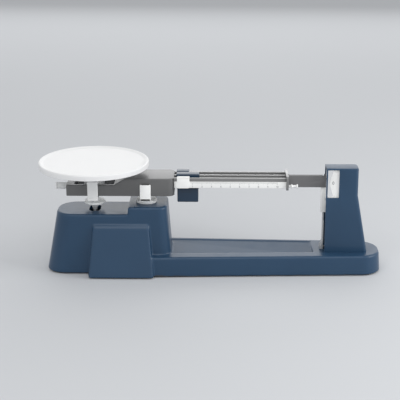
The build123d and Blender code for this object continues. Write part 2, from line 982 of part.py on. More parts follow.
def pointer_blade():
    """The thin pointer set in the arm's end, on the zero line."""
    half = pointer_blade_thickness / 2
    return block_between(
        arm_end_x - pointer_blade_root, arm_end_x + pointer_blade_reach, -arm_thickness / 2, arm_thickness / 2,
        arm_middle_z + 3.0 - half, arm_middle_z + 3.0 + half,
    )


# Zero adjuster

def zero_axis(x):
    """A point on the adjuster's axis."""
    return (x, 0, knife_z + zero_height)


def zero_stud():
    """The fixed threaded stud of the zero knob."""
    return rod(
        zero_axis(-nose_reach - zero_knob_length + 4.0), (1, 0, 0), zero_stud_diameter / 2,
        zero_knob_length + ring_nose - 6.0,
    )


def zero_knob():
    """The round knob on the stud."""
    start = -nose_reach - knob_gap - zero_knob_length
    knob = rod(zero_axis(start), (1, 0, 0), zero_knob_diameter / 2, zero_knob_length)
    knob = chamfer(knob.edges().filter_by(GeomType.CIRCLE).sort_by(Axis.X)[:1], knob_edge)
    bore = rod(
        zero_axis(start + knob_end_wall), (1, 0, 0), zero_stud_diameter / 2 + stud_gap, zero_knob_length
    )
    return knob - bore


def trim_weight():
    """The two bars in the ring's nose that balance the lever."""
    left = -nose_reach + trim_weight_cover
    right = -nose_reach + ring_nose - trim_weight_cover
    inner = trim_weight_offset - trim_weight_width / 2
    middle_z = knife_z + zero_height
    bar = block_between(
        left, right, inner, inner + trim_weight_width,
        middle_z - trim_weight_width / 2, middle_z + trim_weight_width / 2,
    )
    return mirrored(bar)


# Poises

def rounded_block(x0, x1, y0, y1, z0, z1, radius):
    """A block with its upright and top edges broken."""
    shape = block_between(x0, x1, y0, y1, z0, z1)
    shape = chamfer(shape.edges().filter_by(Axis.Z), radius)
    return chamfer(shape.faces().sort_by(Axis.Z)[-1].edges(), radius)


def beam_slot(y, x0, x1, open_below):
    """The slot through which a beam passes, open downwards or closed."""
    half = beam_thickness / 2 + poise_slot_gap
    low = beam_bottom_z - (20.0 if open_below else poise_slot_gap)
    slot = block_between(x0 - 1, x1 + 1, y - half, y + half, low, beam_top_z + poise_slot_gap)
    return slot


def roller(y, x):
    """The small cross pin of a poise, just over the beam's notched edge."""
    half = beam_thickness / 2 + poise_slot_gap + 2.0
    z = beam_top_z + running_gap + roller_radius
    return rod((x, y - half, z), (0, 1, 0), roller_radius, 2 * half)


def rear_poise():
    """The small notched poise of the rear beam."""
    x0 = casting_right + poise_start_gap
    x1 = x0 + rear_poise_length
    outer = beam_thickness / 2 + poise_slot_gap + poise_cheek
    body = rounded_block(
        x0, x1, beam_spacing - outer, beam_spacing + outer,
        beam_bottom_z - 3.0, beam_top_z + poise_above_beam, poise_edge_round,
    )
    body -= beam_slot(beam_spacing, x0, x1, False)
    return body - rear_poise_roller()


def rear_poise_roller():
    """Cross pin of the rear poise."""
    return roller(beam_spacing, casting_right + poise_start_gap + rear_poise_length / 2)


def middle_poise():
    """The large poise of the middle beam, with a hanging block under the beams."""
    x0 = casting_right + poise_start_gap
    x1 = x0 + middle_poise_length
    outer = beam_thickness / 2 + poise_slot_gap + middle_cheek
    upper = rounded_block(
        x0, x1, -outer, outer, beam_bottom_z - middle_block_below_beam - 1.0,
        beam_top_z + poise_above_beam, poise_edge_round,
    )
    middle = (x0 + x1) / 2
    top = beam_bottom_z - middle_block_below_beam
    block = rounded_block(
        middle - middle_block_length / 2, middle + middle_block_length / 2,
        -middle_block_width / 2, middle_block_width / 2,
        top - middle_block_height, top, poise_edge_round,
    )
    body = upper + block - beam_slot(0, x0, x1, False)
    return body - middle_poise_roller()


def middle_poise_roller():
    """Cross pin of the middle poise."""
    return roller(0, casting_right + poise_start_gap + middle_poise_length / 2)


def front_poise():
    """The white sliding poise of the front beam, with a round-bottomed skirt over the scale."""
    middle = casting_right + poise_start_gap + front_skirt_length / 2
    half_length = front_poise_length / 2
    y = -beam_spacing
    back_y = y + beam_thickness / 2 + poise_slot_gap + front_cheek
    front_y = strip_front_y - poise_slot_gap - front_skirt_thickness
    upper = block_between(
        middle - half_length, middle + half_length, front_y, back_y,
        beam_top_z - front_cap_height, beam_top_z + front_above_beam,
    )
    upper = chamfer(upper.faces().sort_by(Axis.Z)[-1].edges(), front_cap_round)
    skirt_top = beam_top_z - front_cap_height + 1.0
    skirt_bottom = beam_bottom_z + front_skirt_above_foot
    skirt = block_between(
        middle - front_skirt_length / 2, middle + front_skirt_length / 2,
        front_y, front_y + front_skirt_thickness, skirt_bottom, skirt_top,
    )
    skirt = fillet(skirt.edges().filter_by(Axis.Y).sort_by(Axis.Z)[:2], front_skirt_corner)
    back = block_between(
        middle - half_length, middle + half_length,
        y + beam_thickness / 2 + poise_slot_gap, back_y, beam_bottom_z + 1.0, beam_top_z,
    )
    slot = block_between(
        middle - front_skirt_length, middle + front_skirt_length,
        front_y + front_skirt_thickness, y + beam_thickness / 2 + poise_slot_gap,
        beam_bottom_z - 5.0, beam_top_z + poise_slot_gap,
    )
    return upper + skirt + back - slot


# Pan support with stem

yoke_inner_y = casting_half_width + strap_gap
yoke_outer_y = yoke_inner_y + strap_thickness
yoke_bar_bottom = ring_top + yoke_bar_gap
yoke_bar_top = yoke_bar_bottom + yoke_bar_height
foot_bar_top = casting_bottom - yoke_foot_gap
foot_bar_bottom = foot_bar_top - yoke_bar_height
disc_top = foot_bar_bottom - neck_height
disc_bottom = disc_top - disc_thickness
hub_top = knife_z + hub_above_knife


def pan_yoke():
    """The stirrup over the ring: hub, cross bar and two straps."""
    hub = rod(
        (0, 0, knife_z - hub_below_knife), (0, 0, 1), hub_diameter / 2, hub_above_knife + hub_below_knife
    )
    hub = chamfer(hub.faces().sort_by(Axis.Z)[-1].edges(), disc_edge)
    half = strap_width / 2
    bar = block_between(-half, half, -yoke_outer_y, yoke_outer_y, yoke_bar_bottom, yoke_bar_top)
    strap = block_between(-half, half, yoke_inner_y, yoke_outer_y, foot_bar_top, yoke_bar_top)
    straps = mirrored(strap)
    slot = block_between(
        -bearing_length / 2, bearing_length / 2, -hub_diameter / 2, hub_diameter / 2,
        knife_z - hub_below_knife - 1, knife_z + bearing_seat,
    )
    yoke = hub + bar - slot + straps[0] + straps[1]
    yoke = chamfer(
        [e for e in yoke.edges().filter_by(Axis.X) if e.center().Z > yoke_bar_top - 0.1
         and abs(e.center().Y) > yoke_outer_y - 0.1], disc_edge
    )
    yoke -= rod(
        (0, 0, hub_top - pan_stem_depth - 0.5), (0, 0, 1), pan_stem_diameter / 2 + pan_stem_gap,
        pan_stem_depth + 1,
    )
    for y in foot_screw_rows():
        yoke -= rod((0, y, foot_bar_top), (0, 0, 1), foot_screw_diameter / 2, foot_screw_grip)
    return yoke


def foot_screw_rows():
    """Where the two screws of the pan support's foot stand."""
    middle = (yoke_inner_y + yoke_outer_y) / 2
    return (-middle, middle)


def pan_bearings():
    """The two bearings in the hub, grooves downwards."""
    outer = hub_diameter / 2 - 2.6
    block = bearing_block(0, outer - 5.0, outer, True)
    return mirrored(block)


def yoke_foot():
    """Cross bar, neck, round disc and collar under the ring."""
    half = strap_width / 2
    bar = block_between(-half, half, -yoke_outer_y, yoke_outer_y, foot_bar_bottom, foot_bar_top)
    neck = rod((0, 0, disc_top), (0, 0, 1), neck_diameter / 2, neck_height)
    disc = rod((0, 0, disc_bottom), (0, 0, 1), disc_diameter / 2, disc_thickness)
    disc = chamfer(disc.edges().filter_by(GeomType.CIRCLE), disc_edge)
    collar = Pos(0, 0, disc_bottom) * Rot(X=180) * Cone(
        collar_diameter / 2, stem_diameter / 2 + 0.8, collar_height,
        align=(Align.CENTER, Align.CENTER, Align.MIN),
    )
    foot = bar + neck + disc + collar
    for y in foot_screw_rows():
        foot -= rod((0, y, foot_bar_bottom), (0, 0, 1), foot_screw_diameter / 2, yoke_bar_height)
    return foot


def yoke_foot_screws():
    """Two small screws from the foot's cross bar up into the straps."""
    screws = []
    for y in foot_screw_rows():
        head = hexagon_head((0, y, foot_bar_bottom), False, foot_screw_head, foot_screw_head_height)
        shank = rod(
            (0, y, foot_bar_bottom), (0, 0, 1), foot_screw_diameter / 2, yoke_bar_height + foot_screw_grip
        )
        screws.append(head + shank)
    return screws


def check_stem():
    """The stem from the pan support down into the housing, forked at its lower end."""
    top = disc_bottom - collar_height
    fork_half = check_rod_thickness / 2 + fork_gap
    fork_outer = fork_half + fork_cheek
    fork_top = check_z + check_eye_diameter / 2 + fork_crown
    stem = rod((0, 0, fork_top), (0, 0, 1), stem_diameter / 2, top - fork_top)
    fork = block_between(
        -check_eye_diameter / 2, check_eye_diameter / 2, -fork_outer, fork_outer, check_z,
        fork_top + fork_crown,
    )
    fork += rod((0, -fork_outer, check_z), (0, 1, 0), check_eye_diameter / 2, 2 * fork_outer)
    gap = block_between(
        -check_eye_diameter, check_eye_diameter, -fork_half, fork_half,
        check_z - check_eye_diameter, fork_top,
    )
    pin_hole = rod((0, -fork_outer, check_z), (0, 1, 0), check_pin_diameter / 2, 2 * fork_outer)
    return stem + (fork - gap) - pin_hole


def pivot_pin(x, outer):
    """A plain pivot pin along Y."""
    return rod((x, -outer, check_z), (0, 1, 0), check_pin_diameter / 2, 2 * outer)


def stem_pin():
    """The pin of the stem's fork."""
    return pivot_pin(0, check_rod_thickness / 2 + fork_gap + fork_cheek)


def check_rod():
    """The check rod, as long as the pan arm, with an eye at each end."""
    half = check_rod_thickness / 2
    bar = block_between(0, pan_arm, -half, half, check_z - check_rod_height / 2, check_z + check_rod_height / 2)
    waist = check_rod_height / 2 - 1.2
    groove = block_between(
        check_eye_diameter, pan_arm - check_eye_diameter, half - 1.4, half,
        check_z - waist, check_z + waist,
    )
    for cut in mirrored(groove):
        bar -= cut
    for x in (0, pan_arm):
        bar += rod((x, -half, check_z), (0, 1, 0), check_eye_diameter / 2, check_rod_thickness)
    bar -= rod((0, -half, check_z), (0, 1, 0), check_pin_diameter / 2 + open_pivot_gap, check_rod_thickness)
    bar -= rod(
        (pan_arm, -half, check_z), (0, 1, 0), check_pin_diameter / 2 + running_gap, check_rod_thickness
    )
    return bar


def check_bracket():
    """The folded sheet bracket under the platform that holds the check rod's fixed pivot."""
    inner = stand_screw_head / 2 + fork_gap
    outer = inner + check_bracket_sheet
    half = check_bracket_width / 2
    top = platform_z - wall
    bottom = check_z - check_eye_diameter / 2
    cheek = block_between(pan_arm - half, pan_arm + half, inner, outer, bottom, top)
    cheek = chamfer(cheek.edges().filter_by(Axis.Y).sort_by(Axis.Z)[:2], check_bracket_cut)
    cheeks = mirrored(cheek)
    web = block_between(pan_arm - half, pan_arm + half, -outer, outer, top - check_bracket_sheet, top)
    pin_hole = rod((pan_arm, -outer, check_z), (0, 1, 0), check_pin_diameter / 2, 2 * outer)
    screw_hole = rod(
        (pan_arm, 0, top - check_bracket_sheet), (0, 0, 1), stand_screw_diameter / 2, check_bracket_sheet
    )
    return web + cheeks[0] + cheeks[1] - pin_hole - screw_hole


def check_bracket_pin():
    """The pin of the check rod's fixed pivot."""
    return pivot_pin(pan_arm, stand_screw_head / 2 + fork_gap + check_bracket_sheet)


# Pan

def pan():
    """The round pan: a shallow dished plate with a turned-down rim."""
    radius = pan_diameter / 2
    top = knife_z + pan_rim_above_knife
    bottom = top - pan_height
    floor = top - pan_dish
    lip = radius - pan_lip_width
    profile = Polyline(
        (0, floor), (lip - pan_cove, floor), (lip, top), (radius - pan_crown, top),
        (radius, top - pan_crown), (radius, bottom), (radius - pan_sheet, bottom),
        (radius - pan_sheet, floor - pan_sheet), (0, floor - pan_sheet), close=True,
    )
    section = Plane.XZ * make_face(profile)
    return revolve(section, Axis.Z)


def pan_hub():
    """The boss under the pan, with the plain stem that drops into the support."""
    under = knife_z + pan_rim_above_knife - pan_dish - pan_sheet
    boss = rod((0, 0, hub_top), (0, 0, 1), pan_boss_diameter / 2, under - hub_top)
    flange = rod(
        (0, 0, under - pan_flange_thickness), (0, 0, 1), pan_boss_diameter / 2 + pan_flange_reach,
        pan_flange_thickness,
    )
    stem = rod((0, 0, hub_top - pan_stem_depth), (0, 0, 1), pan_stem_diameter / 2, pan_stem_depth)
    return boss + flange + stem


# Pointer tower

def tower_half_width(z, inset=0.0):
    """Half width of the tower at a height."""
    share = (tower_top_z - z) / tower_height
    return tower_top_half_width + share * (tower_foot_half_width - tower_top_half_width) - inset


def tower_form(inset, left, top, bottom):
    """The tower's form, its sides moved inwards by an inset, between given limits."""
    shoulder_z = plinth_height + tower_shoulder_above_foot
    right_top = tower_x + tower_top_length - inset
    right_foot = tower_x + tower_foot_length - inset
    side = [
        (left, bottom), (right_foot, bottom), (right_top, shoulder_z), (right_top, top), (left, top)
    ]
    front = [
        (-tower_half_width(bottom, inset), bottom), (tower_half_width(bottom, inset), bottom),
        (tower_half_width(top, inset), top), (-tower_half_width(top, inset), top),
    ]
    return side_profile(side, past_all_sides) & cross_profile(front, left - 1, right_foot + 1)


def tower():
    """The hollow tower, open towards the beam, with a window in front and behind."""
    outer = tower_form(0, tower_x, tower_top_z, plinth_height)
    right_edges = [e for e in outer.edges() if e.center().X > tower_x + 30 and abs(e.center().Y) > 1
                   and e.center().Z > plinth_height + 1 and e.center().Z < tower_top_z - 1]
    outer = fillet(right_edges, tower_corner)
    roof = [e for e in outer.edges() if e.center().Z > tower_top_z - 0.1 and e.center().X > tower_x + 0.1]
    outer = chamfer(roof, tower_roof_edge)
    inner = tower_form(tower_wall, tower_x - 1, tower_top_z - tower_roof, plinth_height)
    shell = outer - inner
    window_left = tower_x + window_inset
    window_bottom = arm_middle_z - window_half_height - window_extra_below
    shell -= block_between(
        window_left, window_left + window_width, -past_all_sides, 0,
        window_bottom, arm_middle_z + window_half_height,
    )
    shell -= block_between(
        window_left, window_left + window_width + zero_plate_margin, 0, past_all_sides,
        window_bottom - back_window_extra, arm_middle_z + window_half_height,
    )
    for x, y in tower_screw_places():
        boss = block_between(
            x - tower_boss_radius, x + tower_boss_radius, y - tower_boss_radius, y + tower_boss_radius,
            plinth_height, plinth_height + tower_boss_height,
        )
        pad = boss & tower_form(0.5, tower_x, tower_top_z, plinth_height)
        shell += pad
        shell -= rod((x, y, plinth_height), (0, 0, 1), cover_screw_diameter / 2, tower_screw_grip)
    return shell


def tower_screw_places():
    """Plan places of the two screws that hold the tower from below."""
    x = tower_x + tower_screw_station
    y = tower_foot_half_width - tower_wall - tower_screw_inset
    return [(x, -y), (x, y)]


def tower_screws():
    """The screws from inside the plinth's hollow into the tower's feet."""
    ceiling = plinth_height - tray_front_depth - wall
    screws = []
    for x, y in tower_screw_places():
        shank = rod(
            (x, y, ceiling), (0, 0, 1), cover_screw_diameter / 2, plinth_height - ceiling + tower_screw_grip
        )
        head = hexagon_head((x, y, ceiling), False, cover_screw_head, cover_screw_head_height)
        screws.append(shank + head)
    return screws


def zero_plate():
    """The white plate behind the front window, cut to a point at the zero line."""
    left = tower_x + zero_plate_inset
    right = tower_x + window_inset + window_width + zero_plate_margin
    window_bottom = arm_middle_z - window_half_height - window_extra_below
    bottom = window_bottom - zero_plate_margin
    top = tower_top_z - tower_roof
    edge = tower_x + window_inset
    point_x = edge + zero_point_inset
    root_x = point_x + zero_point_reach
    upper = arm_middle_z + window_half_height - zero_border
    lower = window_bottom + zero_border
    blank = side_profile([(left, bottom), (right, bottom), (right, top), (left, top)], past_all_sides)
    cut = side_profile(
        [(left - 1, lower), (root_x, lower), (point_x, arm_middle_z), (root_x, upper), (left - 1, upper)],
        past_all_sides,
    )
    slab = cross_profile(
        [
            (-tower_half_width(bottom, tower_wall), bottom),
            (-tower_half_width(top, tower_wall), top),
            (-tower_half_width(top, tower_wall) + zero_plate_thickness, top),
            (-tower_half_width(bottom, tower_wall) + zero_plate_thickness, bottom),
        ],
        left, right,
    )
    return (blank - cut) & slab


# Magnetic damper

paddle_bottom = arm_bottom_z - vane_drop
magnet_middle_z = paddle_bottom + vane_paddle_height / 2
damper_outer = magnet_gap + magnet_thickness + damper_sheet
damper_left = tower_x - damper_lead
damper_front = magnet_gap - damper_edge_inset
damper_right = vane_x() + vane_paddle_length + paddle_clearance
magnet_left = vane_x() + vane_paddle_length - magnet_length - magnet_end_rim


def damper_bracket():
    """The bent steel bracket that stands on the plinth and carries both magnets."""
    inner = magnet_gap + magnet_thickness
    low = magnet_middle_z - magnet_height / 2 - magnet_rim
    high = magnet_middle_z + magnet_height / 2 + magnet_rim
    strap = block_between(
        damper_left, damper_left + damper_sheet, damper_front, damper_outer, plinth_height, high
    )
    strap += block_between(
        damper_left, damper_left + damper_sheet, -damper_foot_reach, damper_outer,
        plinth_height, paddle_bottom - damper_wide_below_paddle,
    )
    back = block_between(damper_left, damper_right + damper_sheet, inner, damper_outer, low, high)
    web = block_between(damper_right, damper_right + damper_sheet, -damper_outer, damper_outer, low, high)
    front = block_between(
        magnet_left - magnet_rim, damper_right + damper_sheet, -damper_outer, -inner, low, high
    )
    foot = block_between(
        damper_left - damper_foot_length, damper_left, -damper_foot_reach, damper_outer,
        plinth_height, plinth_height + damper_foot_height,
    )
    wedge = side_profile(
        [
            (damper_left - damper_foot_length, plinth_height + damper_foot_rise),
            (damper_left, plinth_height + damper_foot_height),
            (damper_left - damper_foot_length, plinth_height + damper_foot_height),
        ],
        past_all_sides,
    )
    base = block_between(
        damper_left, damper_left + damper_base_length, damper_front, damper_outer,
        plinth_height, plinth_height + damper_sheet,
    )
    return strap + back + web + front + (foot - wedge) + base - damper_screw_shank()


def damper_screw_place():
    """Plan place of the damper bracket's screw, behind the strap."""
    x = damper_left + damper_base_length - cover_screw_head / 2 - damper_screw_inset
    return x, (damper_front + damper_outer) / 2


def damper_screw_shank():
    """The threaded part of the damper bracket's screw, down into the plinth."""
    x, y = damper_screw_place()
    length = damper_sheet + damper_screw_length
    return rod((x, y, plinth_height + damper_sheet), (0, 0, -1), cover_screw_diameter / 2, length)


def damper_screw():
    """The screw that holds the damper bracket down on the plinth."""
    x, y = damper_screw_place()
    seat = (x, y, plinth_height + damper_sheet)
    head = hexagon_head(seat, True, cover_screw_head, cover_screw_head_height)
    return head + damper_screw_shank()


def damper_magnets():
    """The two magnets, one on each side of the vane."""
    low = magnet_middle_z - magnet_height / 2
    block = block_between(
        magnet_left, magnet_left + magnet_length, magnet_gap, magnet_gap + magnet_thickness,
        low, low + magnet_height,
    )
    return mirrored(block)


nodes = {
    "base_casting": base_casting,
    "bottom_cover": bottom_cover,
    "rubber_feet": rubber_feet,
    "cover_screws": cover_screws,
    "fulcrum_stand": fulcrum_stand,
    "fulcrum_stand_screw": fulcrum_stand_screw,
    "fulcrum_bearings": fulcrum_bearings,
    "check_bracket": check_bracket,
    "check_bracket_pin": check_bracket_pin,
    "tower": tower,
    "tower_screws": tower_screws,
    "zero_plate": zero_plate,
    "damper_bracket": damper_bracket,
    "damper_screw": damper_screw,
    "damper_magnets": damper_magnets,
    "beam_casting": beam_casting,
    "fulcrum_knife": fulcrum_knife,
    "pan_knife": pan_knife,
    "rear_beam": rear_beam,
    "middle_beam": middle_beam,
    "front_beam": front_beam,
    "front_scale_strip": front_scale_strip,
    "end_bracket": end_bracket,
    "beam_screw": beam_screw,
    "weight_hanger": weight_hanger,
    "pointer_arm": pointer_arm,
    "pointer_blade": pointer_blade,
    "damping_vane": damping_vane,
    "vane_screw": vane_screw,
    "zero_stud": zero_stud,
    "zero_knob": zero_knob,
    "trim_weight": trim_weight,
    "rear_poise": rear_poise,
    "rear_poise_roller": rear_poise_roller,
    "middle_poise": middle_poise,
    "middle_poise_roller": middle_poise_roller,
    "front_poise": front_poise,
    "pan_yoke": pan_yoke,
    "pan_bearings": pan_bearings,
    "yoke_foot": yoke_foot,
    "yoke_foot_screws": yoke_foot_screws,
    "check_stem": check_stem,
    "stem_pin": stem_pin,
    "check_rod": check_rod,
    "pan": pan,
    "pan_hub": pan_hub,
}

os.makedirs("parts", exist_ok=True)
for name, make in nodes.items():
    made = make()
    solids = made if isinstance(made, list) else [made]
    placed = [origin_shift * solid for piece in solids for solid in piece.solids()]
    shape = placed[0] if len(placed) == 1 else Compound(children=placed)
    export_step(shape, f"parts/{name}.step")
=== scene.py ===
import bpy
import math
from bpy.props import FloatProperty, FloatVectorProperty, IntProperty, PointerProperty
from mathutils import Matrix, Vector


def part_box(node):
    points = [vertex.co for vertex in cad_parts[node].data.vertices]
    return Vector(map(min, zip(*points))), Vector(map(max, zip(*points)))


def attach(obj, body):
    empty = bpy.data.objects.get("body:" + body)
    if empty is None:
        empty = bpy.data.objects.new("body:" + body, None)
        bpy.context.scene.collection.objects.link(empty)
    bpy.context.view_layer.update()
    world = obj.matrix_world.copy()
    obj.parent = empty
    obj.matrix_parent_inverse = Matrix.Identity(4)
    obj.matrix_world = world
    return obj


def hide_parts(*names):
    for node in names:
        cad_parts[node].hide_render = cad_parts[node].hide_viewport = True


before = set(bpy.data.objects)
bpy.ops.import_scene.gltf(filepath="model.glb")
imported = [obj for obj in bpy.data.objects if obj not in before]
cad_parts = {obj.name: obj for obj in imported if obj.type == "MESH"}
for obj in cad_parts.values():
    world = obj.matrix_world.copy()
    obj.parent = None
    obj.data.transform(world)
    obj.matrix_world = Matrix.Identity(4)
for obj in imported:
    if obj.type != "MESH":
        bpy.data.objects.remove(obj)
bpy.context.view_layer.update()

bl_info = {
    "name": "Triple Beam Balance",
    "version": (1, 0, 0),
    "blender": (4, 5, 0),
    "location": "View3D > Sidebar > Balance",
    "description": "Builds the shown pieces of a triple beam balance over its packed frame",
    "category": "Object",
}

MM = 0.001
NEAR = 0.01 * MM
PAN_AXIS_X = (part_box("pan")[0][0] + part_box("pan")[1][0]) / 2
TABLE_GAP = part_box("base_casting")[0][2]


# Places and small measures

def at(x, y, z):
    """A point from the drawing's place: pan axis, middle plane, underside of the casting, in mm."""
    return Vector((PAN_AXIS_X + x * MM, y * MM, TABLE_GAP + z * MM))


def srgb(red, green, blue):
    """A colour from its 0 to 255 screen values, for the sockets of a shader."""
    def linear(value):
        share = value / 255
        return share / 12.92 if share <= 0.04045 else ((share + 0.055) / 1.055) ** 2.4
    return (linear(red), linear(green), linear(blue), 1.0)


def middle(low, high):
    return (Vector(low) + Vector(high)) / 2


# Modelling steps that several pieces share

def clear_selection():
    if bpy.context.object and bpy.context.object.mode != "OBJECT":
        bpy.ops.object.mode_set(mode="OBJECT")
    bpy.ops.object.select_all(action="DESELECT")


def only(obj):
    clear_selection()
    obj.select_set(True)
    bpy.context.view_layer.objects.active = obj


def edit(obj, kind="VERT"):
    only(obj)
    bpy.ops.object.mode_set(mode="EDIT")
    bpy.ops.mesh.select_mode(type=kind)


def edit_all(obj, kind="VERT"):
    edit(obj, kind)
    bpy.ops.mesh.select_all(action="SELECT")


def leave_edit():
    bpy.ops.object.mode_set(mode="OBJECT")


def apply_modifier(obj, kind, **settings):
    """Changes a piece by one modifier, which is applied at once."""
    only(obj)
    modifier = obj.modifiers.new(kind.capitalize(), kind)
    for name, value in settings.items():
        setattr(modifier, name, value)
    bpy.ops.object.modifier_apply(modifier=modifier.name)


def pick(obj, kind, test):
    """Selects the vertices, edges or faces whose middle passes a test, and returns how many they are."""
    edit(obj, kind)
    bpy.ops.mesh.select_all(action="DESELECT")
    leave_edit()
    mesh = obj.data
    count = 0
    if kind == "VERT":
        for vertex in mesh.vertices:
            vertex.select = test(vertex.co)
            count += vertex.select
    elif kind == "EDGE":
        for edge in mesh.edges:
            a, b = (mesh.vertices[i].co for i in edge.vertices)
            edge.select = test((a + b) / 2, (b - a))
            count += edge.select
    else:
        for face in mesh.polygons:
            face.select = test(face.center, face.normal)
            count += face.select
    bpy.ops.object.mode_set(mode="EDIT")
    return count


def shift_where(obj, test, step):
    """Moves the vertices that pass a test."""
    pick(obj, "VERT", test)
    bpy.ops.transform.translate(value=step)
    leave_edit()


def apply_place(obj):
    only(obj)
    bpy.ops.object.transform_apply(location=True, rotation=True, scale=True)


def tidy_mesh(obj):
    """Closes doubles and turns all faces outwards."""
    edit_all(obj)
    bpy.ops.mesh.remove_doubles(threshold=0.002 * MM)
    bpy.ops.mesh.normals_make_consistent(inside=False)
    leave_edit()


def smooth_by_angle(obj, degrees=32):
    only(obj)
    bpy.ops.object.shade_smooth_by_angle(angle=math.radians(degrees))


def block(name, low, high, edge=0.0, segments=3):
    """A rectangular block between two corners, with all its edges broken."""
    clear_selection()
    size = Vector(high) - Vector(low)
    bpy.ops.mesh.primitive_cube_add(size=1, location=middle(low, high), scale=size)
    obj = bpy.context.object
    obj.name = name
    apply_place(obj)
    if edge:
        edit_all(obj, "EDGE")
        bpy.ops.mesh.bevel(offset=edge, segments=segments, affect="EDGES")
        leave_edit()
    return obj


def tapered(name, foot, top):
    """A block with straight sides between a foot and a top, each (x0, x1, y0, y1, z) in drawing places."""
    low = at(foot[0], foot[2], foot[4])
    high = at(foot[1], foot[3], top[4])
    obj = block(name, low, high)
    corners = [
        (foot[0], foot[2], top[0], top[2]), (foot[1], foot[2], top[1], top[2]),
        (foot[1], foot[3], top[1], top[3]), (foot[0], foot[3], top[0], top[3]),
    ]
    for x, y, new_x, new_y in corners:
        start = at(x, y, top[4])
        shift_where(obj, lambda co: (co - start).length < NEAR, at(new_x, new_y, top[4]) - start)
    return obj


def upright(run):
    """Whether an edge, given as the vector from end to end, rises."""
    return abs(run.z) > 10 * MM


def rim_at(height):
    """A test for the level edges at a height of the drawing."""
    level = at(0, 0, height).z
    return lambda co, run: abs(co.z - level) < NEAR and abs(run.z) < NEAR


def bevel_where(obj, test, width, segments):
    """Rounds the edges that pass a test."""
    if pick(obj, "EDGE", test):
        bpy.ops.mesh.bevel(offset=width, offset_type="OFFSET", segments=segments, affect="EDGES")
    leave_edit()


def point_mesh(name, place):
    """A mesh of one point, the start of an outline that is then extruded."""
    clear_selection()
    bpy.ops.mesh.primitive_plane_add(size=MM, location=(0, 0, 0))
    obj = bpy.context.object
    obj.name = name
    edit_all(obj)
    bpy.ops.mesh.merge(type="CENTER")
    bpy.ops.mesh.select_all(action="SELECT")
    bpy.ops.transform.translate(value=place)
    return obj


def draw_line(places):
    """Extrudes the one selected point of the mesh in edit mode along further places."""
    last = places[0]
    for place in places[1:]:
        step = Vector(place) - Vector(last)
        bpy.ops.mesh.extrude_region_move(TRANSFORM_OT_translate={"value": step})
        last = place


def arc_corner(before, corner, after, radius, steps):
    """Points of a round that replaces a corner of a flat outline of (u, v) pairs."""
    c = Vector(corner)
    a = (Vector(before) - c)
    b = (Vector(after) - c)
    reach = min(a.length, b.length) * 0.49
    a.normalize()
    b.normalize()
    half = a.angle(b) / 2
    back = min(radius / math.tan(half), reach)
    radius = back * math.tan(half)
    hub = c + (a + b).normalized() * (radius / math.sin(half))
    first = c + a * back - hub
    last = c + b * back - hub
    turn = first.angle_signed(last)
    points = []
    for i in range(steps + 1):
        angle = -turn * i / steps
        points.append((
            hub.x + first.x * math.cos(angle) - first.y * math.sin(angle),
            hub.y + first.x * math.sin(angle) + first.y * math.cos(angle),
        ))
    return points


def rounded(outline, closed, steps=4):
    """A flat outline of (u, v, round) with each round drawn as an arc."""
    points = []
    count = len(outline)
    for i, (u, v, radius) in enumerate(outline):
        inside = closed or 0 < i < count - 1
        if radius and inside:
            before = outline[(i - 1) % count][:2]
            after = outline[(i + 1) % count][:2]
            points += arc_corner(before, (u, v), after, radius, steps)
        else:
            points.append((u, v))
    return points


def turned(name, centre, profile, axis="Z", steps=64, rounds=4):
    """A turned piece: (radius, height, round) from a centre along Z or X, all in mm."""
    points = rounded(profile, False, rounds)
    centre = Vector(centre)
    if axis == "Z":
        places = [centre + Vector((r * MM, 0, h * MM)) for r, h in points]
        direction = (0, 0, 1)
    else:
        places = [centre + Vector((h * MM, 0, r * MM)) for r, h in points]
        direction = (1, 0, 0)
    obj = point_mesh(name, places[0])
    draw_line(places)
    bpy.ops.mesh.select_all(action="SELECT")
    bpy.ops.mesh.spin(steps=steps, angle=2 * math.pi, center=centre, axis=direction)
    leave_edit()
    tidy_mesh(obj)
    smooth_by_angle(obj, 35)
    return obj


def plate(name, outline, start, end, plane="XZ", edge=0.0, steps=5, segments=2):
    """A plate from a flat outline of (u, v, round), between two places along its thickness."""
    points = rounded(outline, True, steps)

    def place(u, v, w):
        return at(u, w, v) if plane == "XZ" else at(u, v, w)

    places = [place(u, v, start) for u, v in points]
    obj = point_mesh(name, places[0])
    draw_line(places)
    bpy.ops.mesh.select_all(action="SELECT")
    bpy.ops.mesh.edge_face_add()
    bpy.ops.mesh.select_all(action="SELECT")
    thickness = place(0, 0, end) - place(0, 0, start)
    bpy.ops.mesh.extrude_region_move(TRANSFORM_OT_translate={"value": thickness})
    leave_edit()
    tidy_mesh(obj)
    if edge:
        along = thickness.normalized()
        bevel_where(
            obj, lambda co, run: abs(run.normalized().dot(along)) < 0.01, edge, segments
        )
        tidy_mesh(obj)
    smooth_by_angle(obj)
    return obj


def cut(obj, cutter):
    """Cuts one piece with another, and removes the cutter."""
    apply_modifier(obj, "BOOLEAN", object=cutter, operation="DIFFERENCE", solver="EXACT")
    only(cutter)
    bpy.ops.object.delete()
    return obj


def joined(name, pieces):
    """One object from several."""
    clear_selection()
    for piece in pieces:
        piece.select_set(True)
    bpy.context.view_layer.objects.active = pieces[0]
    bpy.ops.object.join()
    obj = bpy.context.object
    obj.name = name
    obj.data.name = name
    return obj


